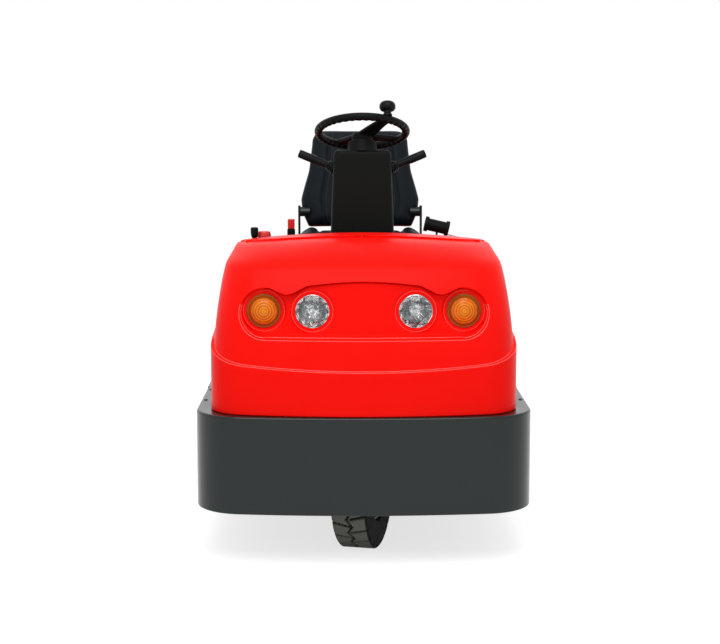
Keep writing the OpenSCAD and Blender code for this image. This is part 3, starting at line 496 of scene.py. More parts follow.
def eased_copy(name: str, node: str, radius: float) -> Piece:
    """Copies a rigid solid and rounds its edges as a maker would break them.

    Args:
        name: the piece's name.
        node: the solid that it stands for.
        radius: the edges' radius.

    Returns:
        The rounded copy.
    """
    flat, corner, crease_deg = math.radians(1.0), math.radians(32.0), 60.0
    mesh = bmesh.new()
    mesh.from_mesh(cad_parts[node].data)
    bmesh.ops.remove_doubles(mesh, verts=mesh.verts, dist=MERGE * MM)
    bmesh.ops.dissolve_limit(mesh, angle_limit=flat, verts=mesh.verts, edges=mesh.edges)
    edges = [e for e in mesh.edges if e.is_manifold and e.calc_face_angle() > corner]
    bmesh.ops.bevel(mesh, geom=edges, offset=radius * MM, segments=3, profile=0.5, affect="EDGES",
                    clamp_overlap=True)
    bmesh.ops.remove_doubles(mesh, verts=mesh.verts, dist=MERGE * MM / 4)
    made = new_object(name, mesh, crease_deg)
    steady_normals(made)
    return made


def paint_light_and_wear(made: Piece, share: Callable[[Points], Points]) -> None:
    """Notes on a piece's points how far its finish turns to its second colour, which is painted light and
    shade, and wear.

    Args:
        made: the piece.
        share: gives 0 to 1 for points in millimetres.
    """
    points = np.array([v.co for v in made.data.vertices]) / MM
    noted = made.data.attributes.new(LIGHT_AND_WEAR, "FLOAT", "POINT")
    noted.data.foreach_set("value", np.clip(share(points), 0, 1).astype(np.float32))


def dress(made: Piece, finish: Finish, body: str, slot: str, *nodes: str) -> Piece:
    """Gives a piece its finish, the body that carries it and the solids that it stands for.

    Args:
        made: the piece.
        finish: its material.
        body: the moving body that it rides on.
        slot: the record's material slot; not used.
        nodes: the solids that it replaces.

    Returns:
        The same piece.
    """
    made.data.materials.clear()
    made.data.materials.append(material_of(finish))
    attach(made, body)
    if nodes:
        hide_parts(*nodes)
    LOG.info("%s: %d faces on %s", made.name, len(made.data.polygons), body)
    return made


def build_solids(rows: Sequence[tuple[str, str, float, Finish, str, str]]) -> None:
    """Builds rigid pieces that keep their solids' shapes, with broken edges.

    Args:
        rows: each piece's name, solid, edge radius, finish, body and material slot.
    """
    for name, node, edge, finish, body, slot in rows:
        dress(eased_copy(name, node, edge), finish, body, slot, node)


# Geometry Nodes


def node_group(name: str, sizes: dict[str, float | int]) -> tuple[Tree, bpy.types.NodeOutputs]:
    """Starts a geometry tree with named inputs.

    Args:
        name: the tree's name.
        sizes: input names with their values, a whole number for a count.

    Returns:
        The tree and the sockets of its inputs.
    """
    tree = bpy.data.node_groups.new(name, "GeometryNodeTree")
    tree.interface.new_socket("Geometry", in_out="INPUT", socket_type="NodeSocketGeometry")
    for key, value in sizes.items():
        kind = "NodeSocketInt" if isinstance(value, int) else "NodeSocketFloat"
        tree.interface.new_socket(key, in_out="INPUT", socket_type=kind)
    tree.interface.new_socket("Geometry", in_out="OUTPUT", socket_type="NodeSocketGeometry")
    return tree, add_node(tree, "NodeGroupInput").outputs


def run_group(name: str, tree: Tree, sizes: dict[str, float | int], base: bpy.types.Mesh, points: Socket,
              shape: Socket, finish: Finish, turn: Socket | Triple = (0.0, 0.0, 0.0),
              place: Matrix = Matrix.Identity(4)) -> Piece:
    """Ends a geometry tree with copies of a shape on points, runs it and keeps the result as a plain mesh.

    Args:
        name: the new piece's name.
        tree: the geometry tree.
        sizes: values of its inputs by name.
        base: mesh that the tree starts from.
        points: where the copies go.
        shape: what is copied.
        finish: material of the copies.
        turn: turn of each copy, in radians.
        place: matrix in metres applied to the result.

    Returns:
        The new object, with no modifier.
    """
    copies = add_node(tree, "GeometryNodeInstanceOnPoints",
                      {"Points": points, "Instance": shape, "Rotation": turn})
    real = add_node(tree, "GeometryNodeRealizeInstances", {0: copies.outputs[0]})
    dressed = add_node(tree, "GeometryNodeSetMaterial",
                       {"Geometry": real.outputs[0], "Material": material_of(finish)})
    add_node(tree, "NodeGroupOutput", {0: dressed.outputs[0]})
    holder = bpy.data.objects.new(name + "_base", base)
    bpy.context.scene.collection.objects.link(holder)
    modifier = holder.modifiers.new("repeat", "NODES")
    modifier.node_group = tree
    for item in tree.interface.items_tree:
        if item.in_out == "INPUT" and item.name in sizes:
            modifier[item.identifier] = sizes[item.name]
    evaluated = holder.evaluated_get(bpy.context.evaluated_depsgraph_get())
    data = bpy.data.meshes.new_from_object(evaluated)
    data.transform(place)
    bpy.data.objects.remove(holder)
    mesh = bmesh.new()
    mesh.from_mesh(data)
    clean(mesh)
    bpy.data.meshes.remove(data)
    return new_object(name, mesh)


def scaled(tree: Tree, shape: Socket, *sizes: Socket) -> Socket:
    """Scales a unit shape to its three sizes."""
    size = add_node(tree, "ShaderNodeCombineXYZ", dict(zip("XYZ", sizes)))
    return add_node(tree, "GeometryNodeTransform", {"Geometry": shape, "Scale": size.outputs[0]}).outputs[0]


def nut_circle(name: str, count: int, circle_mm: float, across_mm: float, height_mm: float, finish: Finish,
               place: Matrix) -> Piece:
    """Sets hexagon nuts with domed studs evenly on a circle.

    Args:
        name: the new piece's name.
        count: number of nuts.
        circle_mm: radius of their circle.
        across_mm: radius of a nut over its corners.
        height_mm: height of a nut.
        finish: their material.
        place: matrix in metres of the circle's frame, its Z along the nuts.

    Returns:
        The nuts as one object.
    """
    sizes = {"Count": count, "Circle": circle_mm * MM, "Across": across_mm * MM, "Height": height_mm * MM}
    tree, given = node_group(name, sizes)
    ring = add_node(tree, "GeometryNodeMeshCircle", {"Vertices": given["Count"], "Radius": given["Circle"]})
    nut = add_node(tree, "GeometryNodeMeshCylinder",
                   {"Vertices": 6, "Radius": given["Across"], "Depth": given["Height"]})
    stud_r = add_node(tree, "ShaderNodeMath", {0: given["Across"], 1: 0.52}, operation="MULTIPLY")
    stud = add_node(tree, "GeometryNodeMeshCone",
                    {"Vertices": 12, "Radius Top": 0.0, "Radius Bottom": stud_r.outputs[0],
                     "Depth": given["Height"]})
    half = add_node(tree, "ShaderNodeMath", {0: given["Height"], 1: 0.5}, operation="MULTIPLY")
    rise = add_node(tree, "ShaderNodeCombineXYZ", {"Z": half.outputs[0]})
    lifted = add_node(tree, "GeometryNodeTransform",
                      {"Geometry": stud.outputs["Mesh"], "Translation": rise.outputs[0]})
    both = add_node(tree, "GeometryNodeJoinGeometry", {0: nut.outputs["Mesh"]})
    tree.links.new(lifted.outputs[0], both.inputs[0])
    base = bpy.data.meshes.new(name)
    return run_group(name, tree, sizes, base, ring.outputs[0], both.outputs[0], finish, place=place)


def rib_row(name: str, count: int, pitch_mm: float, length_mm: float, width_mm: float, height_mm: float,
            finish: Finish, place: Matrix) -> Piece:
    """Lays half-round ribs side by side along the local Y axis.

    Args:
        name: the new piece's name.
        count: number of ribs.
        pitch_mm: distance from rib to rib.
        length_mm: length of a rib along X.
        width_mm: width of a rib.
        height_mm: height of a rib over the surface.
        finish: their material.
        place: matrix in metres of the row's first rib.

    Returns:
        The ribs as one object.
    """
    sizes = {"Count": count, "Pitch": pitch_mm * MM, "Length": length_mm * MM, "Width": width_mm * MM,
             "Height": height_mm * MM}
    tree, given = node_group(name, sizes)
    step = add_node(tree, "ShaderNodeCombineXYZ", {"Y": given["Pitch"]})
    row = add_node(tree, "GeometryNodeMeshLine", {"Count": given["Count"], "Offset": step.outputs[0]})
    rod = add_node(tree, "GeometryNodeMeshCylinder", {"Vertices": 12, "Radius": 1.0, "Depth": 1.0})
    turned = add_node(tree, "GeometryNodeTransform",
                      {"Geometry": rod.outputs["Mesh"], "Rotation": (0.0, math.pi / 2, 0.0)})
    half_width = add_node(tree, "ShaderNodeMath", {0: given["Width"], 1: 0.5}, operation="MULTIPLY")
    rib = scaled(tree, turned.outputs[0], given["Length"], half_width.outputs[0], given["Height"])
    base = bpy.data.meshes.new(name)
    return run_group(name, tree, sizes, base, row.outputs[0], rib, finish, place=place)


def screw_heads(name: str, points: Points, radius_mm: float, height_mm: float, finish: Finish,
                turn: Triple = (0.0, 0.0, 0.0)) -> Piece:
    """Sets button-head screws at given points.

    Args:
        name: the new piece's name.
        points: places of the heads' seats.
        radius_mm: radius of a head.
        height_mm: height of a head.
        finish: their material.
        turn: turn of each head from the Z axis, in radians.

    Returns:
        The heads as one object.
    """
    sizes = {"Radius": radius_mm * MM, "Height": height_mm * MM}
    tree, given = node_group(name, sizes)
    ball = add_node(tree, "GeometryNodeMeshUVSphere", {"Segments": 16, "Rings": 8, "Radius": 1.0})
    head = scaled(tree, ball.outputs["Mesh"], given["Radius"], given["Radius"], given["Height"])
    base = bpy.data.meshes.new(name)
    base.from_pydata([tuple(np.asarray(p) * MM) for p in points], [], [])
    return run_group(name, tree, sizes, base, given["Geometry"], head, finish, turn)


def stitch_row(name: str, path: Points, pitch_mm: float, length_mm: float, width_mm: float,
               finish: Finish) -> Piece:
    """Sews stitches along a path.

    Args:
        name: the new piece's name.
        path: points of the seam.
        pitch_mm: distance from stitch to stitch.
        length_mm: length of a stitch.
        width_mm: thickness of the thread.
        finish: the thread's material.

    Returns:
        The stitches as one object.
    """
    sizes = {"Pitch": pitch_mm * MM, "Length": length_mm * MM, "Width": width_mm * MM}
    tree, given = node_group(name, sizes)
    line = add_node(tree, "GeometryNodeMeshToCurve", {"Mesh": given["Geometry"]})
    spots = add_node(tree, "GeometryNodeCurveToPoints",
                     {"Curve": line.outputs[0], "Length": given["Pitch"]}, mode="LENGTH").outputs
    ball = add_node(tree, "GeometryNodeMeshUVSphere", {"Segments": 8, "Rings": 6, "Radius": 0.5})
    stitch = scaled(tree, ball.outputs["Mesh"], given["Width"], given["Width"], given["Length"])
    base = bpy.data.meshes.new(name)
    base.from_pydata([tuple(p * MM) for p in path], [(i, i + 1) for i in range(len(path) - 1)], [])
    return run_group(name, tree, sizes, base, spots["Points"], stitch, finish, spots["Rotation"])


# Front of the tug


@dataclass
class Plan:
    """Plan of a body with a bowed front, round front corners and straight sides."""

    front: float
    back: float
    half: float
    bow: float
    corner: float

    def inset(self, depth: float) -> Plan:
        """Returns the plan moved inwards by a depth."""
        return Plan(self.front + depth, self.back, self.half - depth, self.bow - depth, self.corner - depth)

    def points(self, sides: Points, corners: Points, fronts: Points) -> Points:
        """Lists points from the rear right round the front to the rear left.

        Args:
            sides: shares along a side, from the rear.
            corners: shares round a corner, from the side.
            fronts: shares along half the front, from the corner.

        Returns:
            X and Y of each point.
        """
        inner = self.half - self.corner
        depth = self.bow - math.sqrt((self.bow - self.corner) ** 2 - inner * inner)
        spread = math.asin(inner / (self.bow - self.corner))
        turn = corners * (math.pi / 2 - spread)
        swing = -spread * (1 - fronts)
        start = self.front + depth
        x = np.concatenate([np.full(len(sides), -self.half), -inner - self.corner * np.cos(turn),
                            self.bow * np.sin(swing)])
        y = np.concatenate([self.back + (start - self.back) * sides, start - self.corner * np.sin(turn),
                            self.front + self.bow * (1 - np.cos(swing))])
        right = np.stack([x, y], axis=1)
        left = right[::-1] * np.array([-1.0, 1.0])
        return np.concatenate([right, [[0.0, self.front]], left])


def shares(count: int) -> Points:
    """Even shares from 0 towards 1, without the end."""
    return np.linspace(0, 1, count, endpoint=False)


@dataclass
class FrontBumper:
    """Bowed steel bumper with a rolled upper edge and a ledge that carries the hood."""

    bow: float = 3000.0
    corner: float = 150.0
    plate: float = 20.0
    ledge: float = 10.0
    upper_edge: float = 7.0
    lower_edge: float = 4.0
    bolt_inset: float = 15.0
    bolt_shares: Pair = (0.56, 0.9)
    bolt_r: float = 6.5
    bolt_h: float = 3.0

    def plan(self) -> Plan:
        """Returns the plan of the outer face."""
        low, high = box_mm("front_bumper")
        return Plan(low[1], high[1], high[0], self.bow, self.corner)

    def build(self, skirt: Plan, wall: float) -> None:
        """Builds the bumper and the bolts of its ledge.

        Args:
            skirt: plan of the hood's skirt, which stands on the ledge.
            wall: thickness of the skirt.
        """
        low, high = box_mm("front_bumper")
        foot, top = low[2], high[2]
        outer, inner = self.plan(), skirt.inset(wall)
        spacing = (shares(6), shares(20), shares(40))
        edge, under = self.upper_edge, self.lower_edge
        rows = [(outer.inset(self.plate), foot + under), (outer.inset(self.plate - under), foot)]
        rows += [(outer.inset(under - r), foot + under - h) for r, h in arc((0, 0), under, 90, 0, 4)]
        rows += [(outer.inset(edge - r), top - edge + h) for r, h in arc((0, 0), edge, 0, 90, 6)]
        rows += [(inner, top), (inner, top - self.ledge), (outer.inset(self.plate), top - self.ledge)]
        grid = np.array([np.insert(plan.points(*spacing), 2, z, axis=1) for plan, z in rows])
        made = grid_object("bumper_plate", [grid], closed=True, crease_deg=50)
        steady_normals(made)
        dress(made, GREY_STEEL, "tug", "frame_grey", "front_bumper")
        back = outer.back - outer.front
        places = [(side * (outer.half - self.bolt_inset), outer.front + share * back, top)
                  for side in SIDES for share in self.bolt_shares]
        bolts = screw_heads("ledge_bolts", np.array(places), self.bolt_r, self.bolt_h, GREY_STEEL)
        dress(bolts, GREY_STEEL, "tug", "frame_grey")


@dataclass
class Hood:
    """Two-piece red hood: an upright skirt and a lofted upper shell with a sunk lamp panel."""

    bow: float = 1700.0
    corner: float = 130.0
    wall: float = 20.0
    seam_deg: float = 22.0
    side_seam_deg: float = 6.0
    side_seam_start: float = 190.0
    seam_z: float = 584.0
    skirt_edge: float = 7.0
    skirt_foot: float = 4.0
    edge_r: float = 1.3
    loft_z: tuple[float, ...] = (560.0, 740.0, 957.0, 957.0)
    front_shares: tuple[float, ...] = (0.022, 0.037, 0.083, 0.556)
    half_shares: tuple[float, ...] = (0.985, 0.987, 0.887, 0.85)
    crest_fall: float = 24.0
    crest_half: float = 396.0
    crest_band: Pair = (870.0, 950.0)
    heel_fall: float = 18.0
    crest_drop: float = 4.0
    roof_z: float = 900.0
    shell: float = 6.0
    lap: float = 7.0
    panel_set: float = 77.8
    panel_half: float = 290.0
    panel_low: float = 674.0
    panel_high: float = 841.0
    arch_z: float = 823.0
    dip: Pair = (226.0, 804.0)
    brow: Pair = (148.0, 831.0)
    lip_draft: float = 2.2
    ledge_draft: float = 9.0
    corner_share: float = 0.09
    groove: float = 9.0
    groove_w: float = 2.2
    # Insets of the two painted highlight lines along the ledge
    ledge_highlights: Pair = (-0.6, 4.5)
    pad_r: float = 64.0
    lamp_hole_r: float = 48.0
    lamp_x: Pair = (151.0, 293.0)
    lamp_z: float = 753.0
    tray_half: float = 360.0
    tray_l: float = 110.0

    def skirt_plan(self) -> Plan:
        """Returns the plan of the skirt's outer face."""
        low, high = box_mm("hood_skirt")
        return Plan(low[1], high[1], high[0], self.bow, self.corner)

    def seam(self, y: Points) -> Points:
        """Gives the seam's height at a station."""
        along = np.asarray(y, float) - self.skirt_plan().front
        steep, flat = math.tan(math.radians(self.seam_deg)), math.tan(math.radians(self.side_seam_deg))
        start = self.side_seam_start
        return self.seam_z + np.minimum(along * steep, start * steep + (along - start) * flat)

    def front_y(self) -> float:
        """Returns the station of the bumper's face, from which the loft is set out."""
        return box_mm("front_bumper")[0][1]

    def bow_fall(self, x: Points) -> Points:
        """Gives how far the bowed front falls back at a distance from the centreline."""
        return self.bow - np.sqrt(self.bow ** 2 - np.asarray(x, float) ** 2)

    def crowned(self, points: Points) -> Points:
        """Lets the crest fall away towards the sides, and its two strips beside the tray towards the rear."""
        bent = np.array(points, float)
        near_top = smooth_step(*self.crest_band, bent[..., 2])
        back = box_mm("hood_skirt")[1][1]
        heel = smooth_step(back - self.tray_l - 10, back, bent[..., 1])
        heel = heel * smooth_step(self.tray_half - 30, self.tray_half + 5, np.abs(bent[..., 0]))
        side = (bent[..., 0] / self.crest_half) ** 2
        fall = self.crest_drop + self.crest_fall * side + self.heel_fall * heel
        bent[..., 2] -= fall * near_top
        return bent

    def build_skirt(self) -> None:
        """Builds the skirt with a rounded upper ledge along the slanted seam."""
        plan, foot = self.skirt_plan(), box_mm("hood_skirt")[0][2]
        spacing = (shares(24), shares(24), shares(48))
        edge, toe = self.skirt_edge, self.skirt_foot
        rows = [(self.wall, 0.0, 0.0), (toe, 0.0, 0.0)]
        rows += [(toe - r, 0.0, toe - h) for r, h in arc((0, 0), toe, 90, 0, 4)][1:]
        rows += [(0.0, share, 0.0) for share in (0.3, 0.6, 0.9)]
        rows += [(edge - r, 1.0, h - edge) for r, h in arc((0, 0), edge, 0, 90, 6)]
        rows += [(self.wall, 1.0, -2.0)]
        grid = []
        for depth, share, rise in rows:
            points = plan.inset(depth).points(*spacing)
            top = self.seam(points[:, 1])
            grid.append(np.insert(points, 2, foot + (top - foot) * share + rise, axis=1))
        made = grid_object("hood_lower_skirt", [np.array(grid)], closed=True, crease_deg=50)
        steady_normals(made)
        dress(made, RED_MOULDING, "tug", "hood_red", "hood_skirt")

    def loft(self, levels: Points) -> Points:
        """Lists the shell's outer surface level by level.

        Args:
            levels: shares of the loft, from 0 at its foot to 1 at its crest.

        Returns:
            A grid of levels by points round the hood.
        """
        high = box_mm("hood_skirt")[1]
        front, length = self.front_y(), high[1] - self.front_y()
        corner = np.concatenate([np.linspace(0, 0.55, 14, endpoint=False),
                                 np.linspace(0.55, 1, 32, endpoint=False)])
        rows = []
        for t in levels:
            weights = np.array([(1 - t) ** 3, 3 * (1 - t) ** 2 * t, 3 * (1 - t) * t * t, t ** 3])
            start = front + weights @ np.array(self.front_shares) * length
            half = weights @ np.array(self.half_shares) * high[0]
            points = Plan(start, high[1], half, self.bow, self.corner).points(shares(16), corner, shares(88))
            rows.append(np.insert(points, 2, weights @ np.array(self.loft_z), axis=1))
        return np.array(rows)

    def trimmed_loft(self) -> Points:
        """Lofts the shell from its seam up, with close rows across the lamp panel.

        Returns:
            The grid of the outer skin.
        """
        dense = np.linspace(0, 1, 500)
        table = self.loft(dense)
        heights = table[:, 0, 2]
        bands = ((565, 662, 10), (662, 690, 32), (690, 796, 30), (796, 850, 44), (850, self.roof_z, 8))
        wanted = np.concatenate([np.linspace(low, high, count, endpoint=False) for low, high, count in bands])
        roof = np.interp(self.roof_z, heights, dense)
        levels = np.concatenate([np.interp(wanted, heights, dense), np.linspace(roof, 1, 22)])
        columns = table.shape[1]
        grid = np.empty((len(levels), columns, 3))
        for j in range(columns):
            line = table[:, j]
            over = line[:, 2] - self.seam(line[:, 1]) + self.lap
            start = np.interp(0, over, dense)
            at = np.maximum(levels, start)
            for axis in range(3):
                grid[:, j, axis] = np.interp(at, dense, line[:, axis])
        return grid

    def soft_clip(self, share: Points) -> Points:
        """Rises straight from 0 to 1 with both corners rounded."""
        small = self.corner_share
        return (1 + np.sqrt(share ** 2 + small ** 2) - np.sqrt((share - 1) ** 2 + small ** 2)) / 2

    def sunk(self, grid: Points) -> Points:
        """Sinks the lamp panel, its lamp pads and the lamps' holes into the shell.

        Args:
            grid: the outer skin.

        Returns:
            The skin with the panel.
        """
        x, y, z = np.abs(grid[..., 0]), grid[..., 1], grid[..., 2]
        (brow_x, brow_z), (dip_x, dip_z) = self.brow, self.dip
        top = np.where(x < brow_x, self.panel_high - (self.panel_high - brow_z) * (x / brow_x) ** 2,
                       ease(brow_z, dip_z, (x - brow_x) / (dip_x - brow_x)))
        arch = ease(dip_z, self.arch_z, (x - dip_x) / (self.panel_half - dip_x))
        top = np.where(x > dip_x, arch, top)
        end_r = (self.arch_z - self.panel_low) / 2
        rise = z - self.arch_z + end_r
        reach = np.maximum(x - self.panel_half, 0)
        from_end = end_r - np.hypot(reach, rise)
        upper = np.where(x > self.panel_half, from_end, top - z)
        lower = np.where(x > self.panel_half, from_end, z - self.panel_low)
        tilt = (1 - np.where(x > self.panel_half, rise / np.maximum(np.hypot(reach, rise), 1), 1)) / 2
        lip = self.lip_draft + (self.ledge_draft - self.lip_draft) * np.clip(tilt * 2, 0, 1)
        mask = np.clip(upper / lip, 0, 1) * self.soft_clip(lower / self.ledge_draft)
        floor = self.front_y() + self.panel_set + self.bow_fall(x)
        under_lip = np.exp(-((upper - self.groove_w) / self.groove_w) ** 2)
        floor = floor + self.groove * (under_lip * smooth_step(0, 30, z - self.lamp_z))
        for centre in self.lamp_x:
            away = np.hypot(x - centre, z - self.lamp_z)
            level = self.front_y() + self.panel_set + self.bow_fall(centre)
            ledge_top = self.panel_low + self.ledge_draft
            clear = smooth_step(ledge_top, ledge_top + 14, z)
            floor = floor + (level - floor) * smooth_step(self.pad_r + 3, self.pad_r - 2, away) * clear
        sunk = grid.copy()
        sunk[..., 1] = y + np.maximum(floor - y, 0) * mask
        return sunk

    def cut_lamp_holes(self, mesh: Skin) -> None:
        """Opens the shell behind the lamps.

        Args:
            mesh: the shell's skin.
        """
        inside = []
        for face in mesh.faces:
            middle = face.calc_center_median() / MM
            near = min(math.hypot(abs(middle.x) - x, middle.z - self.lamp_z) for x in self.lamp_x)
            if near < self.lamp_hole_r - 1 and middle.y < self.front_y() + 2 * self.panel_set:
                inside.append(face)
        bmesh.ops.delete(mesh, geom=inside, context="FACES")

    def build_shell(self) -> None:
        """Builds the upper shell as a moulding with a wall, cut open for the instrument tray."""
        grid = self.sunk(self.trimmed_loft())
        mesh = bmesh.new()
        grid_into(mesh, self.crowned(grid))
        middle = grid.shape[1] // 2
        right, left = grid[-1, :middle + 1, None], grid[-1, ::-1][:middle + 1, None]
        grid_into(mesh, self.crowned(right + (left - right) * np.linspace(0, 1, 41)[None, :, None]))
        bmesh.ops.remove_doubles(mesh, verts=mesh.verts, dist=MERGE * MM)
        tray_y = box_mm("hood_skirt")[1][1] - self.tray_l
        for point, normal in (((self.tray_half, 0, 0), (1, 0, 0)), ((-self.tray_half, 0, 0), (1, 0, 0)),
                              ((0, tray_y, 0), (0, 1, 0))):
            upper = [f for f in mesh.faces if f.calc_center_median().z > self.roof_z * MM]
            around = [*{v for f in upper for v in f.verts}, *{e for f in upper for e in f.edges}, *upper]
            bmesh.ops.bisect_plane(mesh, geom=around, plane_co=Vector(point) * MM, plane_no=normal, dist=1e-6)
        inside = [f for f in mesh.faces if abs(f.calc_center_median().x) < self.tray_half * MM
                  and f.calc_center_median().y > tray_y * MM]
        bmesh.ops.delete(mesh, geom=inside, context="FACES")
        self.cut_lamp_holes(mesh)
        clean(mesh, outward=False)
        if sum(f.normal.y * f.calc_area() for f in mesh.faces) > 0:
            bmesh.ops.reverse_faces(mesh, faces=mesh.faces)
        made = new_object("hood_upper_shell", mesh, 50)
        wall = made.modifiers.new("wall", "SOLIDIFY")
        wall.thickness = self.shell * MM
        wall.offset = -1
        self.highlight_lines(made)
        settle(made)
        dress(made, RED_MOULDING, "tug", "hood_red", "hood_shell")

    def highlight_lines(self, shell: Piece) -> None:
        """Builds thin paler lines along the seam and the lamp panel's ledge: painted highlights on their
        edges.

        Args:
            shell: the shell's skin, onto which the ledge's highlight lines are laid.
        """
        spread = (shares(10), shares(20), shares(30))
        skirt = self.skirt_plan().inset(self.edge_r).points(*spread)
        paths = [np.insert(skirt, 2, self.seam(skirt[:, 1]) - self.skirt_edge * 0.4, axis=1)]
        table = self.loft(np.linspace(0, 0.6, 200))[:, ::3]
        over = table[..., 2] - self.seam(table[..., 1]) - self.edge_r
        paths.append(np.array([[np.interp(0, over[:, j], table[:, j, axis]) for axis in range(3)]
                               for j in range(table.shape[1])]))
        end_r = (self.arch_z - self.panel_low) / 2
        for inset in self.ledge_highlights:
            radius = end_r - inset
            half = [(x, self.panel_low + inset) for x in np.linspace(0, self.panel_half, 40, endpoint=False)]
            half += arc((self.panel_half, self.panel_low + end_r), radius, -90, 20, 24)
            line = [(-x, z) for x, z in half[:0:-1]] + half
            hits = [shell.ray_cast(Vector((x, -2000, z)) * MM, Vector((0, 1, 0))) for x, z in line]
            paths.append(np.array([np.array(spot) / MM for hit, spot, _, _ in hits if hit]))
        made = grid_object("hood_painted_highlight_lines", [capped_tube(path, self.edge_r, 8) for path in paths])
        dress(made, RED_PAINTED_HIGHLIGHT, "tug", "hood_red")


def settle(made: Piece) -> None:
    """Applies a piece's modifiers, so that its mesh holds its final shape."""
    evaluated = made.evaluated_get(bpy.context.evaluated_depsgraph_get())
    data = bpy.data.meshes.new_from_object(evaluated)
    made.modifiers.clear()
    old = made.data
    made.data = data
    bpy.data.meshes.remove(old)


@dataclass
class FrontLamps:
    """Two headlamps and two turn lamps, each a metallised bowl behind a domed lens."""

    lens_r: float = 46.0
    bezel: float = 5.0
    depth: float = 34.0
    rim: float = 6.0
    lens: float = 3.0
    clear_dome: float = 12.0
    amber_dome: float = 20.0
    ring_pitch: float = 8.0
    ring_rise: float = 1.1
    facets: int = 24
    flank_r: float = 39.0
    bead_r: float = 60.0
    bead: float = 0.8

    def seat(self, node: str, side: int) -> Matrix:
        """Gives the frame of a lamp, with Z pointing out of the hood."""
        low, high = box_mm(node.replace("lenses", "bowls"))
        centre = high[0] - self.lens_r - self.bezel + 1.5
        middle = (low[2] + high[2]) / 2
        back = high[1] - self.depth
        return moved((side * centre, back, middle)) @ rotated(90, "X")

    def bowl(self, node: str, name: str, inner: Profile) -> None:
        """Builds the two bowls of a kind of lamp.

        Args:
            node: the solid that they replace.
            name: the piece's name.
            inner: profile of the bulb and its holder, from the middle outwards.
        """
        radius, rim = self.lens_r, self.rim
        wall = [(radius * s, -self.depth + 2 + (self.depth - 4) * ((s - 0.3) / 0.66) ** 2)
                for s in np.linspace(0.3, 0.96, 8)]
        bezel = arc((radius + self.bezel - 3.5, rim - 2.5), 2.5, 90, 0, 4)
        outer = [(radius - 0.5, 2.0), (radius + 0.5, rim), *bezel, (radius + self.bezel - 1, 0.0),
                 (radius - 3, -1.0), (radius * 0.5, -self.depth), (0.0, -self.depth)]

        def faceted(r: Points, h: Points, a: Points) -> Points:
            """Breaks the mirror into flats round the turn."""
            cut = (h < 1.5) & (r < radius * 0.97) & (r > radius * 0.3)
            return np.where(cut, r * (1 + 0.045 * np.cos(self.facets / 2 * a)), r)

        profile = [*inner, *wall, *outer]
        grids = [revolved(profile, self.seat(node, side), self.facets * 4, faceted) for side in SIDES]
        dress(grid_object(name, grids, crease_deg=14), CHROME, "tug", "reflector", node)

    def dome(self, node: str, name: str, rise: float, rings: bool, finish: Finish, slot: str) -> None:
        """Builds the two lenses of a kind of lamp.

        Args:
            node: the solid that they replace.
            name: the piece's name.
            rise: height of the dome.
            rings: moulds concentric rings on the lens and gives it a painted glow.
            finish: the lens's material.
            slot: the record's material slot.
        """
        ball = (self.lens_r ** 2 + rise ** 2) / (2 * rise)
        reach = np.linspace(0, self.lens_r - 0.4, 45)
        wave = self.ring_rise * (0.5 + 0.5 * np.cos(2 * np.pi * reach / self.ring_pitch)) * rings
        fade = 1 - smooth_step(self.lens_r - 6, self.lens_r - 1, reach)
        cap = self.rim + rise - ball + np.sqrt(ball ** 2 - reach ** 2)
        outer, inner = cap - wave * fade, cap - self.lens - self.ring_rise
        edge = self.lens_r + self.bezel
        skirt = [*arc((edge - 3, self.rim - 1), 3, 80, 0, 4), (edge, 0.4), (edge - 2.5, 0.4),
                 (edge - 2.5, self.rim + 0.2)]
        behind = zip(reach[::-1], np.maximum(inner[::-1], 2.6))
        profile = [*zip(reach, outer), *(skirt if rings else []), *behind]
        grids = [revolved(profile, self.seat(node, side), 72) for side in SIDES]
        made = grid_object(name, grids, crease_deg=30)
        centre = self.seat(node, 1).translation
        if rings:
            # Rings and middle of the amber lenses painted brighter: a painted glow
            paint_light_and_wear(made, lambda p: self.glow(np.hypot(np.abs(p[:, 0]) - centre.x, p[:, 2] - centre.z)))
        dress(made, finish, "tug", slot, node)

    def glow(self, reach: Points) -> Points:
        """Gives how much painted glow the amber acrylic gets at a distance from its middle, most on the
        rings.
        """
        ring = 0.5 - 0.5 * np.cos(2 * np.pi * reach / self.ring_pitch)
        return ring * smooth_step(self.lens_r, self.flank_r - 14, reach) + smooth_step(14, 4, reach) * 0.5

    def flanks(self) -> None:
        """Builds the stepped flank round each amber lens, in a darker amber that is painted shade."""
        edge, rim = self.lens_r + self.bezel + 0.4, self.rim
        ring = [(self.flank_r, rim + 3), (self.flank_r, rim + 6.2), (self.flank_r + 1.5, rim + 6.4),
                (self.lens_r - 1.5, rim + 2.6), *arc((edge - 3.4, rim - 1), 3.4, 80, 0, 5), (edge, 0.2),
                (edge - 2, 0.2), (self.flank_r, rim + 3)]
        flanks = [revolved(ring, self.seat("turn_lamp_bowls", side), 72) for side in SIDES]
        made = grid_object("turn_lamp_flanks", flanks)
        dress(made, AMBER_SHADED_FLANK, "tug", "amber_lens")

    def beads(self) -> None:
        """Builds the moulded bead round each lamp's pad, in a paler red that is a painted highlight."""
        ring = [(self.bead_r + r, 3.9 + h) for r, h in arc((0, 0), self.bead, 180, 0, 6)]
        ring += [(self.bead_r + self.bead, 3.0), (self.bead_r - self.bead, 3.0), ring[0]]
        seats = [self.seat(node, side) for node in ("headlamp_bowls", "turn_lamp_bowls") for side in SIDES]
        made = grid_object("lamp_pad_highlight_beads", [revolved(ring, seat, 96) for seat in seats], crease_deg=60)
        dress(made, RED_PAINTED_HIGHLIGHT, "tug", "hood_red")

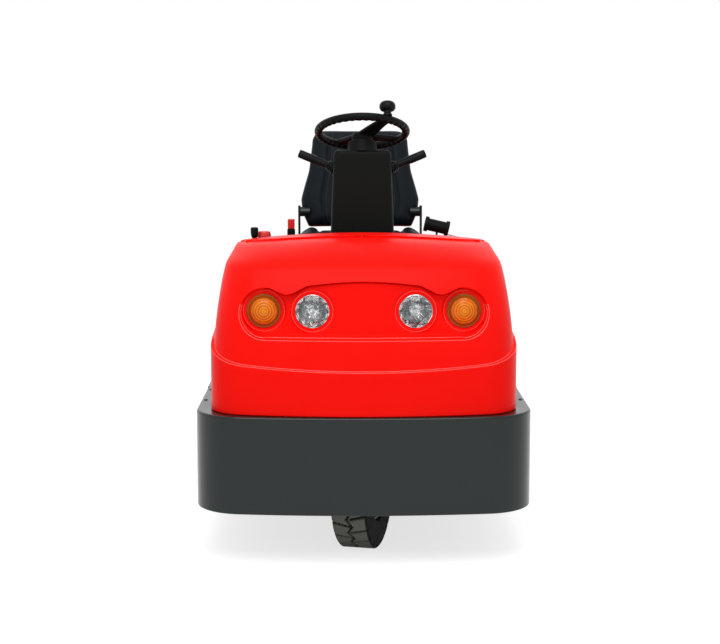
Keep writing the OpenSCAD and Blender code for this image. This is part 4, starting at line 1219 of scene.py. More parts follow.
    def build(self) -> None:
        """Builds all four lamps."""
        shield = [(0.0, -4.0), (7.0, -4.5), (9.5, -7.0), (9.5, -20.0), (7.0, -22.0), (7.0, -self.depth + 3)]
        bulb = [(0.0, -2.0), (6.0, -3.5), (10.0, -8.0), (11.0, -14.0), (8.0, -22.0), (8.0, -self.depth + 3)]
        self.bowl("headlamp_bowls", "headlamp_reflectors", shield)
        self.bowl("turn_lamp_bowls", "turn_lamp_reflectors", bulb)
        self.dome("headlamp_lenses", "headlamp_glasses", self.clear_dome, False, CLEAR_GLASS, "clear_lens")
        self.dome("turn_lamp_lenses", "turn_lamp_covers", self.amber_dome, True, AMBER_ACRYLIC, "amber_lens")
        self.flanks()
        self.beads()


# Driver's station


def rounded_ring(half: float, low: float, high: float, radius: float, steps: int = 5) -> list[Pair]:
    """Lists a rectangle with round corners, once round.

    Args:
        half: half its width.
        low: its lower end.
        high: its upper end.
        radius: radius of the corners.
        steps: chords of a corner.

    Returns:
        The points, turning left.
    """
    ring = []
    for x, y, start in ((half - radius, low + radius, -90), (half - radius, high - radius, 0),
                        (radius - half, high - radius, 90), (radius - half, low + radius, 180)):
        ring += arc((x, y), radius, start, start + 90, steps)
    return ring


def capped(rows: Sequence[Points]) -> Points:
    """Closes a run of rings by drawing its two end rings to points."""
    rows = [np.asarray(row, float) for row in rows]
    ends = [np.repeat(row.mean(axis=0)[None, :], len(row), axis=0) for row in (rows[0], rows[-1])]
    return np.array([ends[0], *rows, ends[1]])


@dataclass
class Column:
    """Tapered steering column cover with two control stalks."""

    low_w: float = 244.0
    top_w: float = 182.0
    low_l: float = 150.0
    top_l: float = 124.0
    low_z: float = 452.0
    top_z: float = 1212.0
    edge: float = 18.0
    crown: float = 14.0
    collar_r: float = 46.0
    collar_h: float = 40.0
    collar_drop: float = 38.0
    stalk_z: float = 1154.0
    stalk_y: float = -305.0
    stalk_deg: float = 22.0
    stalk_back_deg: float = 8.0
    boot_l: float = 24.0
    boot_r: float = 23.0
    folds: int = 4
    rod_r: float = 12.0
    grip_l: float = 52.0
    grip_start: float = 64.0
    grip_r: float = 15.0

    def size_at(self, z: float) -> Pair:
        """Gives half the cover's width and its length at a height."""
        share = (z - self.low_z) / (self.top_z - self.low_z)
        return ease_line(self.low_w, self.top_w, share) / 2, ease_line(self.low_l, self.top_l, share)

    def ring(self, z: float, inset: float) -> Points:
        """Gives the cover's outline at a height, moved inwards by an inset."""
        start = box_mm("dash_panel")[1][1]
        half, length = self.size_at(z)
        flat = rounded_ring(half - inset, start + inset, start + length - inset, self.edge - inset / 2, 6)
        return np.insert(np.array(flat), 2, z, axis=1)

    def build_cover(self, axis: Matrix) -> None:
        """Builds the cover and the collar under the wheel.

        Args:
            axis: frame of the steering wheel, its Z along the shaft.
        """
        rows = [self.ring(z, 0) for z in np.linspace(self.low_z, self.top_z - 2 * self.crown, 10)]
        rows += [self.ring(self.top_z - self.crown + h, self.crown - r)
                 for r, h in arc((0, 0), self.crown, 0, 86, 6)]
        top = -self.collar_drop
        collar = [(0.0, top - self.collar_h), (self.collar_r, top - self.collar_h), (self.collar_r, top - 5),
                  *arc((self.collar_r - 4, top - 4), 4, 0, 90, 4), (20.0, top), (18.0, top - 3),
                  (0.0, top - 3)]
        skins = [capped(rows), revolved(collar, axis, 56)]
        made = grid_object("column_shroud", skins, crease_deg=50)
        dress(made, BLACK_ABS, "tug", "dash_black", "column_cover")

    def build_stalks(self) -> None:
        """Builds the stalks: a bellows boot, a rod and a flattened grip with a ribbed end."""
        grids = []
        for side in SIDES:
            half = self.size_at(self.stalk_z)[0]
            place = (moved((side * (half - 2), self.stalk_y, self.stalk_z))
                     @ rotated(side * self.stalk_back_deg, "Z")
                     @ rotated(side * (90 - self.stalk_deg), "Y"))
            boot = [(0.0, 0.0)]
            for fold in range(self.folds):
                wide = ease_line(self.boot_r, self.rod_r + 2, fold / self.folds)
                at = self.boot_l * fold / self.folds
                boot += [(wide, at), (wide, at + 2.5), (wide - 3.5, at + self.boot_l / self.folds - 0.5)]
            rod = [(self.rod_r, self.boot_l), (self.rod_r, self.grip_start - 6)]
            start, end = self.grip_start, self.grip_start + self.grip_l + 6
            grip = [(self.grip_r, start + 6), (self.grip_r, end - 7), (self.grip_r - 1.2, end - 6),
                    (self.grip_r - 1.2, end - 5), (self.grip_r, end - 4), (self.grip_r - 2.5, end),
                    (0.0, end)]

            def flatten(r: Points, h: Points, a: Points) -> Points:
                """Presses the grip to an oval with two flats."""
                flat = np.minimum(r, 13 / np.maximum(np.abs(np.cos(a)), 0.01))
                return np.where(h >= start, flat, r)

            grids.append(revolved([*boot, *rod, *grip], place, 40, flatten))
        made = grid_object("stalk_levers", grids, crease_deg=34)
        dress(made, BLACK_NYLON, "tug", "dash_black", "control_stalks")


def ease_line(start: float, end: float, share: float) -> float:
    """Goes straight from start to end."""
    return start + (end - start) * share


@dataclass
class SteeringWheel:
    """Three-spoke wheel with finger grips, a padded hub and a spinner knob."""

    centre: Triple = (0.0, -295.0, 1269.0)
    tilt_deg: float = 20.0
    parked_deg: float = 56.0
    ring_r: float = 141.0
    tube_r: float = 13.0
    grips: int = 40
    grip_depth: float = 1.6
    hub_r: float = 34.0
    hub_h: float = 26.0
    hub_drop: float = 10.0
    shaft_r: float = 12.0
    shaft_l: float = 30.0
    spoke_w: float = 30.0
    spoke_t: float = 10.0

    def axis(self) -> Matrix:
        """Gives the frame of the wheel, its Z along the shaft."""
        return moved(self.centre) @ rotated(-self.tilt_deg, "X")

    def ring(self) -> Points:
        """Lists the grip ring with shallow finger hollows under it."""
        u = np.linspace(0, 2 * np.pi, self.grips * 8 + 1)[:, None]
        v = turns(28)[None, :]
        under = np.clip(0.35 - np.sin(v), 0, 1)
        tube_r = self.tube_r - self.grip_depth * under * (0.5 + 0.5 * np.cos(self.grips * u))
        reach = self.ring_r + tube_r * np.cos(v)
        return placed(np.stack([reach * np.cos(u), reach * np.sin(u), tube_r * np.sin(v) + 0 * u], axis=-1),
                      self.axis())

    def spoke(self, angle: float) -> Points:
        """Lists one dished spoke, from the hub to the ring."""
        place = self.axis() @ rotated(angle, "Z")
        rows = []
        for share in np.linspace(0, 1, 12):
            x = ease_line(self.hub_r * 0.4, self.ring_r - 2, share)
            z = ease(-self.hub_drop - self.spoke_t / 2, 0.0, share ** 0.8)
            half = ease(self.spoke_w * 0.95, self.spoke_w * 0.6, share)
            thick = ease_line(self.spoke_t * 0.6, self.spoke_t * 0.5, share)
            flat = np.array(rounded_ring(half, -thick, thick, thick * 0.8, 4))
            rows.append(np.stack([np.full(len(flat), x), flat[:, 0], z + flat[:, 1]], axis=1))
        return placed(capped(rows), place)

    def build(self) -> None:
        """Builds the wheel and its knob."""
        top = -self.hub_drop
        foot = top - self.hub_h
        hub = [(0.0, foot - self.shaft_l), (self.shaft_r, foot - self.shaft_l), (self.shaft_r, foot),
               (self.hub_r - 2, foot), (self.hub_r, foot + 2), (self.hub_r, top - 6),
               *arc((self.hub_r - 8, top - 6), 8, 0, 90, 5), (self.hub_r - 10, top),
               (self.hub_r - 11, top - 1.5), (self.hub_r - 13, top - 1.5), (self.hub_r - 14, top),
               (0.0, top + 1)]
        skins = [self.ring(), revolved(hub, self.axis(), 64)]
        skins += [self.spoke(angle - self.parked_deg) for angle in (0, 90, 180)]
        made = grid_object("grip_ring_and_spokes", skins, crease_deg=50)
        dress(made, WHEEL_FOAM, "steering", "wheel_soft", "steering_wheel")
        seat = (self.axis() @ rotated(-self.parked_deg, "Z")
                @ moved((self.ring_r, 0, self.tube_r)))
        knob = [(0.0, -4.0), (15.0, -4.0), (15.0, 3.0), (12.0, 6.0), (11.5, 11.0), (14.0, 14.0), (20.0, 16.5),
                (24.5, 21.0), (26.0, 28.0), (25.0, 36.0), (21.0, 42.0), (16.0, 44.6), (14.5, 43.6),
                (12.5, 44.4), (6.0, 46.0), (0.0, 46.0)]
        made = grid_object("spinner_handle", [revolved(rounded_profile(knob, 3), seat, 56)])
        dress(made, BLACK_NYLON, "steering", "dash_black", "spinner_knob")


def rounded_profile(profile: Profile, rounds: int) -> list[Pair]:
    """Softens a profile's corners by cutting them a few times, keeping its ends."""
    points = np.array(profile, float)
    for _ in range(rounds - 1):
        near = points[:-1] * 0.75 + points[1:] * 0.25
        far = points[:-1] * 0.25 + points[1:] * 0.75
        middle = np.stack([near, far], axis=1).reshape(-1, 2)
        points = np.concatenate([points[:1], middle, points[-1:]])
    return [tuple(p) for p in points]


def upright(node: str) -> tuple[Matrix, float, float, float]:
    """Gives the place of an upright turned piece, with its radius, foot and top."""
    low, high = box_mm(node)
    middle = (low + high) / 2
    return moved((middle[0], middle[1], 0)), (high[0] - low[0]) / 2, low[2], high[2]


@dataclass
class Controls:
    """Dash panel, instrument tray, display, switches and pedals."""

    edge: float = 4.0
    screw_spots: tuple[Pair, ...] = ((425, 480), (425, 600), (395, 780), (330, 890))
    screw_r: float = 6.0
    screw_h: float = 2.5
    mat_pitch: float = 16.0
    mat_rib: Pair = (7.0, 2.0)
    mat_ends: Pair = (180.0, 20.0)
    mat_margin: float = 30.0
    pedal_ribs: int = 7
    pedal_pitch: float = 14.0
    pedal_rib: Triple = (58.0, 6.0, 2.2)
    pedal_t: float = 6.0
    pedal_deg: float = -42.0
    pedal_set: Pair = (62.0, 498.0)

    def build_dash(self, hood: Hood) -> None:
        """Builds the dash panel with screws and the gloss display in its bezel.

        Args:
            hood: the hood whose crest the panel's corners follow.
        """
        made = eased_copy("dash_moulding", "dash_panel", self.edge)
        for vertex in made.data.vertices:
            if abs(vertex.co.x) > hood.tray_half * MM + 0.001:
                vertex.co = Vector(hood.crowned(np.array(vertex.co) / MM)) * MM
        dress(made, BLACK_ABS, "tug", "dash_black", "dash_panel")
        back = box_mm("dash_panel")[1][1]
        places = [(side * x, back, z) for side in SIDES for x, z in self.screw_spots]
        made = screw_heads("dash_screws", np.array(places), self.screw_r, self.screw_h, BRIGHT_STEEL,
                           (-math.pi / 2, 0.0, 0.0))
        dress(made, BRIGHT_STEEL, "tug", "bright_steel")
        low, high = box_mm("dash_display")
        middle, half = (low + high) / 2, (high - low) / 2
        place = moved((middle[0], low[1], middle[2])) @ rotated(90, "X")
        depth = high[1] - low[1]
        rows = [(0, 0.5), (0, depth - 2), (1, depth - 0.6), (2.4, depth), (7, depth), (8, depth - 2.5)]
        rings = []
        for inset, rise in rows:
            flat = rounded_ring(half[0] - inset, inset - half[2], half[2] - inset, 9 - inset * 0.6, 4)
            rings.append(np.insert(np.array(flat), 2, -rise, axis=1))
        made = grid_object("display_unit", [placed(capped(rings), place)], crease_deg=50)
        dress(made, DISPLAY_GLASS, "tug", "display_black", "dash_display")

    def build_switches(self) -> None:
        """Builds the key switch, the stop button and the selector lever."""
        low, high = box_mm("key_switch")
        radius, middle = (high[0] - low[0]) / 2, (low + high) / 2
        place = moved((middle[0], low[1], middle[2])) @ rotated(-90, "X")
        depth = high[1] - low[1]
        barrel = [(0.0, 0.0), (radius, 0.0), (radius, depth - 5), (radius - 1.5, depth - 3.5),
                  (radius - 4, depth - 3.5), (radius - 4.5, depth), (radius - 6, depth),
                  (radius - 6.5, depth - 1.5), (0.0, depth - 1.5)]
        made = grid_object("key_barrel", [revolved(barrel, place, 40)], crease_deg=30)
        dress(made, BRIGHT_STEEL, "tug", "bright_steel", "key_switch")
        place, radius, foot, top = upright("stop_button")
        button = [(0.0, foot), (13.0, foot), (13.0, foot + 18), (radius - 2, foot + 18), (radius, foot + 20),
                  (radius, foot + 25), (radius - 1.5, top - 5), *arc((radius - 7, top - 5), 5, 0, 90, 4),
                  (0.0, top)]
        made = grid_object("stop_mushroom", [revolved(button, place, 48)])
        dress(made, RED_PLASTIC, "tug", "button_red", "stop_button")
        place, radius, foot, top = upright("selector_lever")
        lever = [(0.0, foot), (11.0, foot), (9.0, foot + 3), (7.5, foot + 5), (5.0, foot + 7),
                 (5.0, foot + 16), (8.0, foot + 18), (radius - 1.0, foot + 26), (radius, top - 12),
                 (radius - 0.5, top - 3), (radius - 3.0, top), (0.0, top)]
        made = grid_object("selector_grip", [revolved(rounded_profile(lever, 3), place, 40)])
        dress(made, BLACK_NYLON, "tug", "dash_black", "selector_lever")

    def build_floor(self) -> None:
        """Builds the ribbed floor mat and the two pedals with ribbed pads."""
        build_solids([("floor_covering", "floor_mat", 1.5, MAT_RUBBER, "tug", "mat_rubber")])
        low, high = box_mm("floor_mat")
        start, rows = low[1] + self.mat_ends[0], int((high[1] - low[1] - sum(self.mat_ends)) / self.mat_pitch)
        place = moved((0, start * MM, high[2] * MM))
        length = 2 * (high[0] - self.mat_margin)
        made = rib_row("floor_ribs", rows, self.mat_pitch, length, *self.mat_rib, MAT_RUBBER, place)
        dress(made, MAT_RUBBER, "tug", "mat_rubber")
        for node in ("brake_pedal", "drive_pedal"):
            build_solids([(node + "_plate", node, 2.5, MAT_RUBBER, "tug", "mat_rubber")])
            low, high = box_mm(node)
            ahead, rise = self.pedal_set
            spot = Vector(((low[0] + high[0]) / 2, box_mm("dash_panel")[1][1] + ahead, rise))
            first = moved((0, -self.pedal_pitch * (self.pedal_ribs - 1) / 2 * MM, self.pedal_t * MM))
            place = moved(spot * MM) @ rotated(self.pedal_deg, "X") @ first
            made = rib_row(node + "_ribs", self.pedal_ribs, self.pedal_pitch, *self.pedal_rib, MAT_RUBBER,
                           place)
            dress(made, MAT_RUBBER, "tug", "mat_rubber")

    def build(self, hood: Hood) -> None:
        """Builds everything on the dash and the floor.

        Args:
            hood: the hood that the dash closes.
        """
        self.build_dash(hood)
        self.build_switches()
        self.build_floor()


# Seat


def squared(wave: Points, power: float) -> Points:
    """Fills out a wave from -1 to 1, so that an oval made of two such waves gets squarer corners."""
    return np.sign(wave) * np.abs(wave) ** power


def inflated(made: Piece, cap_mm: float) -> None:
    """Blows a closed cover up as cloth with air in it, then smooths it by one subdivision.

    Args:
        made: the closed cover. Its mesh is replaced.
        cap_mm: farthest that a point may move.
    """
    voxel_mm, pressure, stiffness, last = 6.0, 4.0, 40, 20
    skin = made.modifiers.new("remesh", "REMESH")
    skin.mode = "VOXEL"
    skin.voxel_size = voxel_mm * MM
    settle(made)
    scene = bpy.context.scene
    rest = np.array([v.co for v in made.data.vertices])
    cloth = made.modifiers.new("air", "CLOTH")
    cloth.settings.use_pressure = True
    cloth.settings.uniform_pressure_force = pressure
    cloth.settings.tension_stiffness = stiffness
    cloth.settings.compression_stiffness = stiffness
    cloth.settings.effector_weights.gravity = 0
    cloth.point_cache.frame_start = 1
    cloth.point_cache.frame_end = last
    for step in range(1, last + 1):
        scene.frame_set(step)
    evaluated = made.evaluated_get(bpy.context.evaluated_depsgraph_get())
    blown = np.array([v.co for v in evaluated.data.vertices])
    made.modifiers.clear()
    scene.frame_set(1)
    move = blown - rest
    far = np.linalg.norm(move, axis=1, keepdims=True)
    move *= np.minimum(1, cap_mm * MM / np.maximum(far, 1e-9))
    for vertex, place in zip(made.data.vertices, rest + move):
        vertex.co = place
    finer = made.modifiers.new("finer", "SUBSURF")
    finer.levels = 1
    settle(made)


@dataclass
class Seat:
    """Padded seat on the battery lid, with its frame and lap belt."""

    back_origin: Triple = (0.0, 459.0, 908.0)
    back_deg: float = 10.0
    back_t: float = 84.0
    back_half: float = 225.0
    back_widths: tuple[Pair, ...] = ((0.0, 0.87), (0.14, 0.97), (0.28, 1.0), (0.395, 0.955),
                                                    (0.58, 0.87), (0.87, 0.81), (1.0, 0.80))
    back_corner: float = 44.0
    back_edge: float = 34.0
    back_hollow: float = 9.0
    back_powers: Pair = (0.42, 0.62)
    cushion_edge: float = 36.0
    cushion_taper: float = 30.0
    cushion_dish: float = 5.0
    cushion_powers: Pair = (0.34, 0.6)
    cross_seams: Pair = (120.0, 240.0)
    bolster: float = 18.0
    arm_inset: float = 6.0
    seam_depth: float = 6.0
    seam_width: float = 7.0
    cushion_seam: float = 0.66
    back_seam: float = 0.62
    thread_inset: float = 10.0
    stitch: Triple = (9.0, 6.5, 1.6)
    swell: float = 5.0
    fill: float = 0.8

    def back_place(self) -> Matrix:
        """Gives the frame of the backrest: X across, Y to the rear, Z up along it."""
        return moved(self.back_origin) @ rotated(-self.back_deg, "X")

    def back_height(self) -> float:
        """Gives the length of the backrest along its slope."""
        high = box_mm("seat_back")[1][2]
        slope = math.radians(self.back_deg)
        return (high - self.back_origin[2]) / math.cos(slope) - self.back_t / 2 * math.tan(slope)

    def back_reach(self, level: Points) -> Points:
        """Gives half the backrest's width at a share of its height."""
        return self.back_half * np.interp(level, *np.array(self.back_widths).T)

    def back_skin(self) -> Points:
        """Lists the backrest as rings from its foot to its top."""
        height, (across, through) = self.back_height(), self.back_powers
        levels = np.concatenate([np.linspace(0.0, 0.1, 8), np.linspace(0.14, 0.84, 24),
                                 np.linspace(0.87, 1.0, 14)])
        rings = []
        for level in levels:
            z = level * height
            half = self.back_reach(level)
            drop = max(0.0, self.back_corner - (height - z))
            half -= self.back_corner - math.sqrt(max(self.back_corner ** 2 - drop ** 2, 0.0))
            end = min(z, height - z) / self.back_edge
            thick = self.back_t / 2 * math.sqrt(max(1 - (1 - min(end, 1)) ** 2, 0.0)) + 0.5
            turn = turns(64)
            x, y = half * squared(np.cos(turn), across), thick * squared(np.sin(turn), through)
            hollow = smooth_step(0.75, 0.45, np.abs(x) / half) * self.back_hollow * (y < 0) * min(end, 1)
            rings.append(np.stack([x, y + hollow, np.full(64, z)], axis=1))
        return placed(capped(rings), self.back_place())

    def cushion_skin(self) -> Points:
        """Lists the cushion as rings from front to back."""
        low, high = box_mm("seat_cushion")
        base, crest = low[2], high[2] - self.bolster
        across, through = self.cushion_powers
        rings = []
        depth = high[1] - low[1]
        for y in np.concatenate([np.linspace(0, 40, 12), np.linspace(48, depth - 48, 36),
                                 np.linspace(depth - 40, depth, 12)]):
            end = min(y, depth - y) / self.cushion_edge
            round_in = math.sqrt(max(1 - (1 - min(end, 1)) ** 2, 0.0))
            half = high[0] - (1 - round_in) * self.cushion_taper - 2
            middle = (base + crest) / 2
            tall = (crest - base) / 2 * round_in + 0.4
            turn = turns(96)
            x, z = half * squared(np.cos(turn), across), tall * squared(np.sin(turn), through)
            side = smooth_step(0.6, 0.8, np.abs(x) / half)
            fade = smooth_step(340, 300, y) * smooth_step(0, 60, y)
            dish = self.cushion_dish * (1 - side) * min(end, 1)
            lift = np.where(z > 0, (self.bolster - 3) * side * fade - dish, 0)
            rings.append(np.stack([x, np.full(96, low[1] + y), middle + z + lift], axis=1))
        return capped(rings)

    def press(self, made: Piece, place: Matrix, lines: Callable[[Points], Points], toward: Triple) -> None:
        """Presses seams into a cushion.

        Args:
            made: the cushion.
            place: frame in which the lines are drawn.
            lines: distance in millimetres from local points to the nearest seam.
            toward: direction from which the seams are pressed, in the local frame.
        """
        mesh = made.data
        inverse = place.inverted()
        local = placed(np.array([v.co for v in mesh.vertices]) / MM, inverse)
        normals = np.array([v.normal for v in mesh.vertices]) @ np.array(inverse.to_3x3()).T
        facing = np.clip(normals @ np.array(toward) * 2 - 0.3, 0, 1)
        away = lines(local)
        depth = self.seam_depth * np.exp(-(away / self.seam_width) ** 2) * facing
        pressed = placed(local - normals * depth[:, None], place) * MM
        for vertex, spot in zip(mesh.vertices, pressed):
            vertex.co = spot

    def back_seams(self, local: Points) -> Points:
        """Gives the distance to the backrest's two upright seams."""
        share = local[:, 2] / self.back_height()
        return np.abs(np.abs(local[:, 0]) - self.back_reach(share) * self.back_seam)

    def cushion_seams(self, local: Points) -> Points:
        """Gives the distance to the cushion's seams: two along the bolsters and two across."""
        low, high = box_mm("seat_cushion")
        along = np.abs(np.abs(local[:, 0]) - high[0] * self.cushion_seam)
        rows = np.min([np.abs(local[:, 1] - low[1] - y) for y in self.cross_seams], axis=0)
        across = np.where(np.abs(local[:, 0]) < high[0] * 0.64, rows, 60)
        return np.minimum(along, across)

    def sewn(self, made: Piece, place: Matrix, toward: Triple, path: Points, name: str) -> None:
        """Sews a row of stitches along a path laid onto a cushion.

        Args:
            made: the cushion.
            place: frame of the path.
            toward: direction from which the path is laid on, in the local frame.
            path: points of the seam, in the local frame.
            name: the thread's name.
        """
        turn = place.to_3x3()
        way = -(turn @ Vector(toward))
        spots = []
        for point in path:
            start = place @ Vector(point) - way * 200
            hit, spot, _, _ = made.ray_cast(start * MM, way)
            if hit:
                spots.append(np.array(spot) / MM)
        if len(spots) > 3:
            thread = stitch_row(name, np.array(spots), *self.stitch, SEAT_THREAD)
            dress(thread, SEAT_THREAD, "lid", "seat_vinyl")

    def build_pads(self) -> None:
        """Builds the cushion and the backrest."""
        cushion = grid_object("seat_cushion_pad", [self.cushion_skin()])
        inflated(cushion, self.swell)
        self.press(cushion, Matrix.Identity(4), self.cushion_seams, (0, 0, 1))
        smooth_all(cushion)
        dress(cushion, SEAT_VINYL, "lid", "seat_vinyl", "seat_cushion")
        back = grid_object("seat_back_pad", [self.back_skin()])
        inflated(back, self.swell)
        self.press(back, self.back_place(), self.back_seams, (0, -1, 0))
        smooth_all(back)
        dress(back, SEAT_VINYL, "lid", "seat_vinyl", "seat_back")
        low, high = box_mm("seat_cushion")
        span = np.linspace(low[1] + 30, high[1] - 60, 60)
        height = self.back_height()
        for side in SIDES:
            across = side * (high[0] * self.cushion_seam - self.thread_inset)
            line = np.stack([np.full(60, across), span, np.full(60, high[2])], axis=1)
            self.sewn(cushion, Matrix.Identity(4), (0, 0, 1), line, f"cushion_thread_{side + 1}")
            rise = np.linspace(0.06, 0.94, 60)
            wide = self.back_reach(rise) * self.back_seam - self.thread_inset
            line = np.stack([side * wide, np.full(60, -60.0), rise * height], axis=1)
            self.sewn(back, self.back_place(), (0, -1, 0), line, f"back_thread_{side + 1}")

    def build_frame(self) -> None:
        """Builds the rails, the recliner arms and the lap belt's hardware."""
        build_solids([("slide_rails", "seat_rails", 3.0, GREY_STEEL, "lid", "frame_grey")])
        arms = eased_copy("recliner_arms", "seat_arms", 2.0)
        for vertex in arms.data.vertices:
            vertex.co.x -= math.copysign(self.arm_inset * MM, vertex.co.x)
        dress(arms, GREY_STEEL, "lid", "frame_grey", "seat_arms")
        build_solids([
            ("buckle_housing", "belt_buckle", 4.0, BLACK_ABS, "lid", "dash_black"),
            ("buckle_release", "belt_button", 4.0, RED_PLASTIC, "lid", "button_red"),
            ("belt_reel", "belt_retractor", 2.5, BLACK_ABS, "lid", "dash_black"),
            ("latch_plate", "belt_tongue", 0.8, BRIGHT_STEEL, "lid", "bright_steel"),
        ])

    def build(self) -> None:
        """Builds the whole seat."""
        self.build_pads()
        self.build_frame()


def smooth_all(made: Piece) -> None:
    """Shades every face of a soft piece smooth."""
    for polygon in made.data.polygons:
        polygon.use_smooth = True


# Running gear


@dataclass
class Tyre:
    """Solid block-tread tyre on a pressed steel wheel."""

    node: str
    body: str
    radius: float
    width: float
    turn_deg: float = 0.0
    bead_share: float = 0.58
    shoulder_share: float = 0.1
    tread: float = 8.0
    pitches: int = 26
    pitch_points: int = 18
    middle_groove: Pair = (4.0, 2.4)
    cross_groove: Pair = (4.6, 3.0)
    # Depths below the crown over which the block tops turn grey: scuffing and painted light
    scuff_and_light: Pair = (3.0, 0.6)
    bore: float = 25.0
    hub: float = 38.0
    nuts: int = 5
    nut_ring: float = 14.0
    nut_size: Pair = (9.0, 9.0)

    def place(self) -> Matrix:
        """Gives the wheel's frame, its Z along the axle."""
        low, high = box_mm(self.node + "_tyre")
        middle = (low + high) / 2
        return moved(middle) @ rotated(self.turn_deg, "Z") @ rotated(90, "Y")

    def build_tyre(self) -> None:
        """Builds the tyre with staggered blocks, a zigzag middle groove and a ribbed wall."""
        half, bead = self.width / 2, self.radius * self.bead_share
        shoulder = self.width * self.shoulder_share
        tread_half = half - shoulder * 0.62
        crown = [(self.radius, x) for x in np.linspace(-tread_half, tread_half, 35)]
        corner = arc((self.radius - shoulder, half - shoulder), shoulder, 70, 0, 6)
        wall_r = np.linspace(self.radius - shoulder, bead + 8, 10)
        wall = [(r, half - 1.6 * (0.5 - 0.5 * math.cos(2 * math.pi * k / 3))) for k, r in enumerate(wall_r)]
        side = [*corner, *wall, (bead + 3, half - 2), (bead, half - shoulder / 2)]
        profile = [(r, -x) for r, x in side[::-1]] + crown + side

        def cut(r: Points, h: Points, a: Points) -> Points:
            """Cuts the grooves between the blocks."""
            step = a * self.pitches / (2 * np.pi)
            zig = np.abs(((step * 2) % 2) - 1) - 0.5
            middle = np.abs(h - zig * tread_half * 0.34)
            flank = np.where(h > 0, step, step + 0.5)
            skew = flank + np.abs(h) / tread_half * 0.25
            cross = np.abs(((skew % 1) - 0.5)) * 2 * np.pi * self.radius / self.pitches
            groove = np.maximum(smooth_step(*self.middle_groove, middle),
                                smooth_step(*self.cross_groove, cross))
            outer = smooth_step(self.radius - shoulder - 6, self.radius - shoulder + 8, r)
            return r - self.tread * groove * outer

        grid = revolved(profile, self.place(), self.pitches * self.pitch_points, cut)
        made = grid_object(self.node + "_tread", [np.concatenate([grid, grid[:1]])], crease_deg=38)
        inverse = self.place().inverted()

        def lit_and_scuffed(points: Points) -> Points:
            """Gives 1 on top of the blocks and 0 in the grooves and on the walls: grey tops partly scuffing
            and partly painted light, dark grooves and walls painted shade.
            """
            local = placed(points, inverse)
            low, high = (self.radius - depth for depth in self.scuff_and_light)
            return smooth_step(low, high, np.hypot(local[:, 0], local[:, 1]))

        paint_light_and_wear(made, lit_and_scuffed)
        dress(made, TYRE_RUBBER, self.body, "tyre_black", self.node + "_tyre")

    def build_wheel(self) -> None:
        """Builds the dished wheel with a rolled flange, a raised hub and nuts."""
        half, bead = self.width / 2 - self.width * self.shoulder_share, self.radius * self.bead_share
        bore, hub = self.bore, self.hub
        outer = [(bead - 1, -half), (bead - 1, half), (bead - 4, half + 1.5), (bead - 8, half),
                 (bead - 8, 12)]
        disc = [(bead - 14, 6), (bead * 0.72, 5), (hub + 22, 7), (hub + 8, 12), (hub, 18), (hub, half - 3),
                (hub - 3, half)]
        inner = [(bore, half), (bore, -half), (hub - 3, -half), (hub, -half + 3), (hub, -18), (hub + 10, -7),
                 (bead - 14, -5), (bead - 8, -10), (bead - 8, -half), (bead - 4, -half - 1.5)]
        profile = [*outer, *disc, *inner]
        grid = revolved([*profile, profile[0]], self.place(), 72)
        made = grid_object(self.node + "_wheel", [grid], crease_deg=35)
        dress(made, WHEEL_ENAMEL, self.body, "rim_grey", self.node + "_rim")
        for side in SIDES:
            face = rotated(180 if side < 0 else 0, "X") @ moved((0, 0, 10))
            place = Matrix.Scale(MM, 4) @ self.place() @ face @ Matrix.Scale(1 / MM, 4)
            nuts = nut_circle(f"{self.node}_nuts_{side + 1}", self.nuts, hub + self.nut_ring, *self.nut_size,
                              BRIGHT_STEEL, place)
            dress(nuts, BRIGHT_STEEL, self.body, "bright_steel")

    def build(self) -> None:
        """Builds the tyre and its wheel."""
        self.build_tyre()
        self.build_wheel()


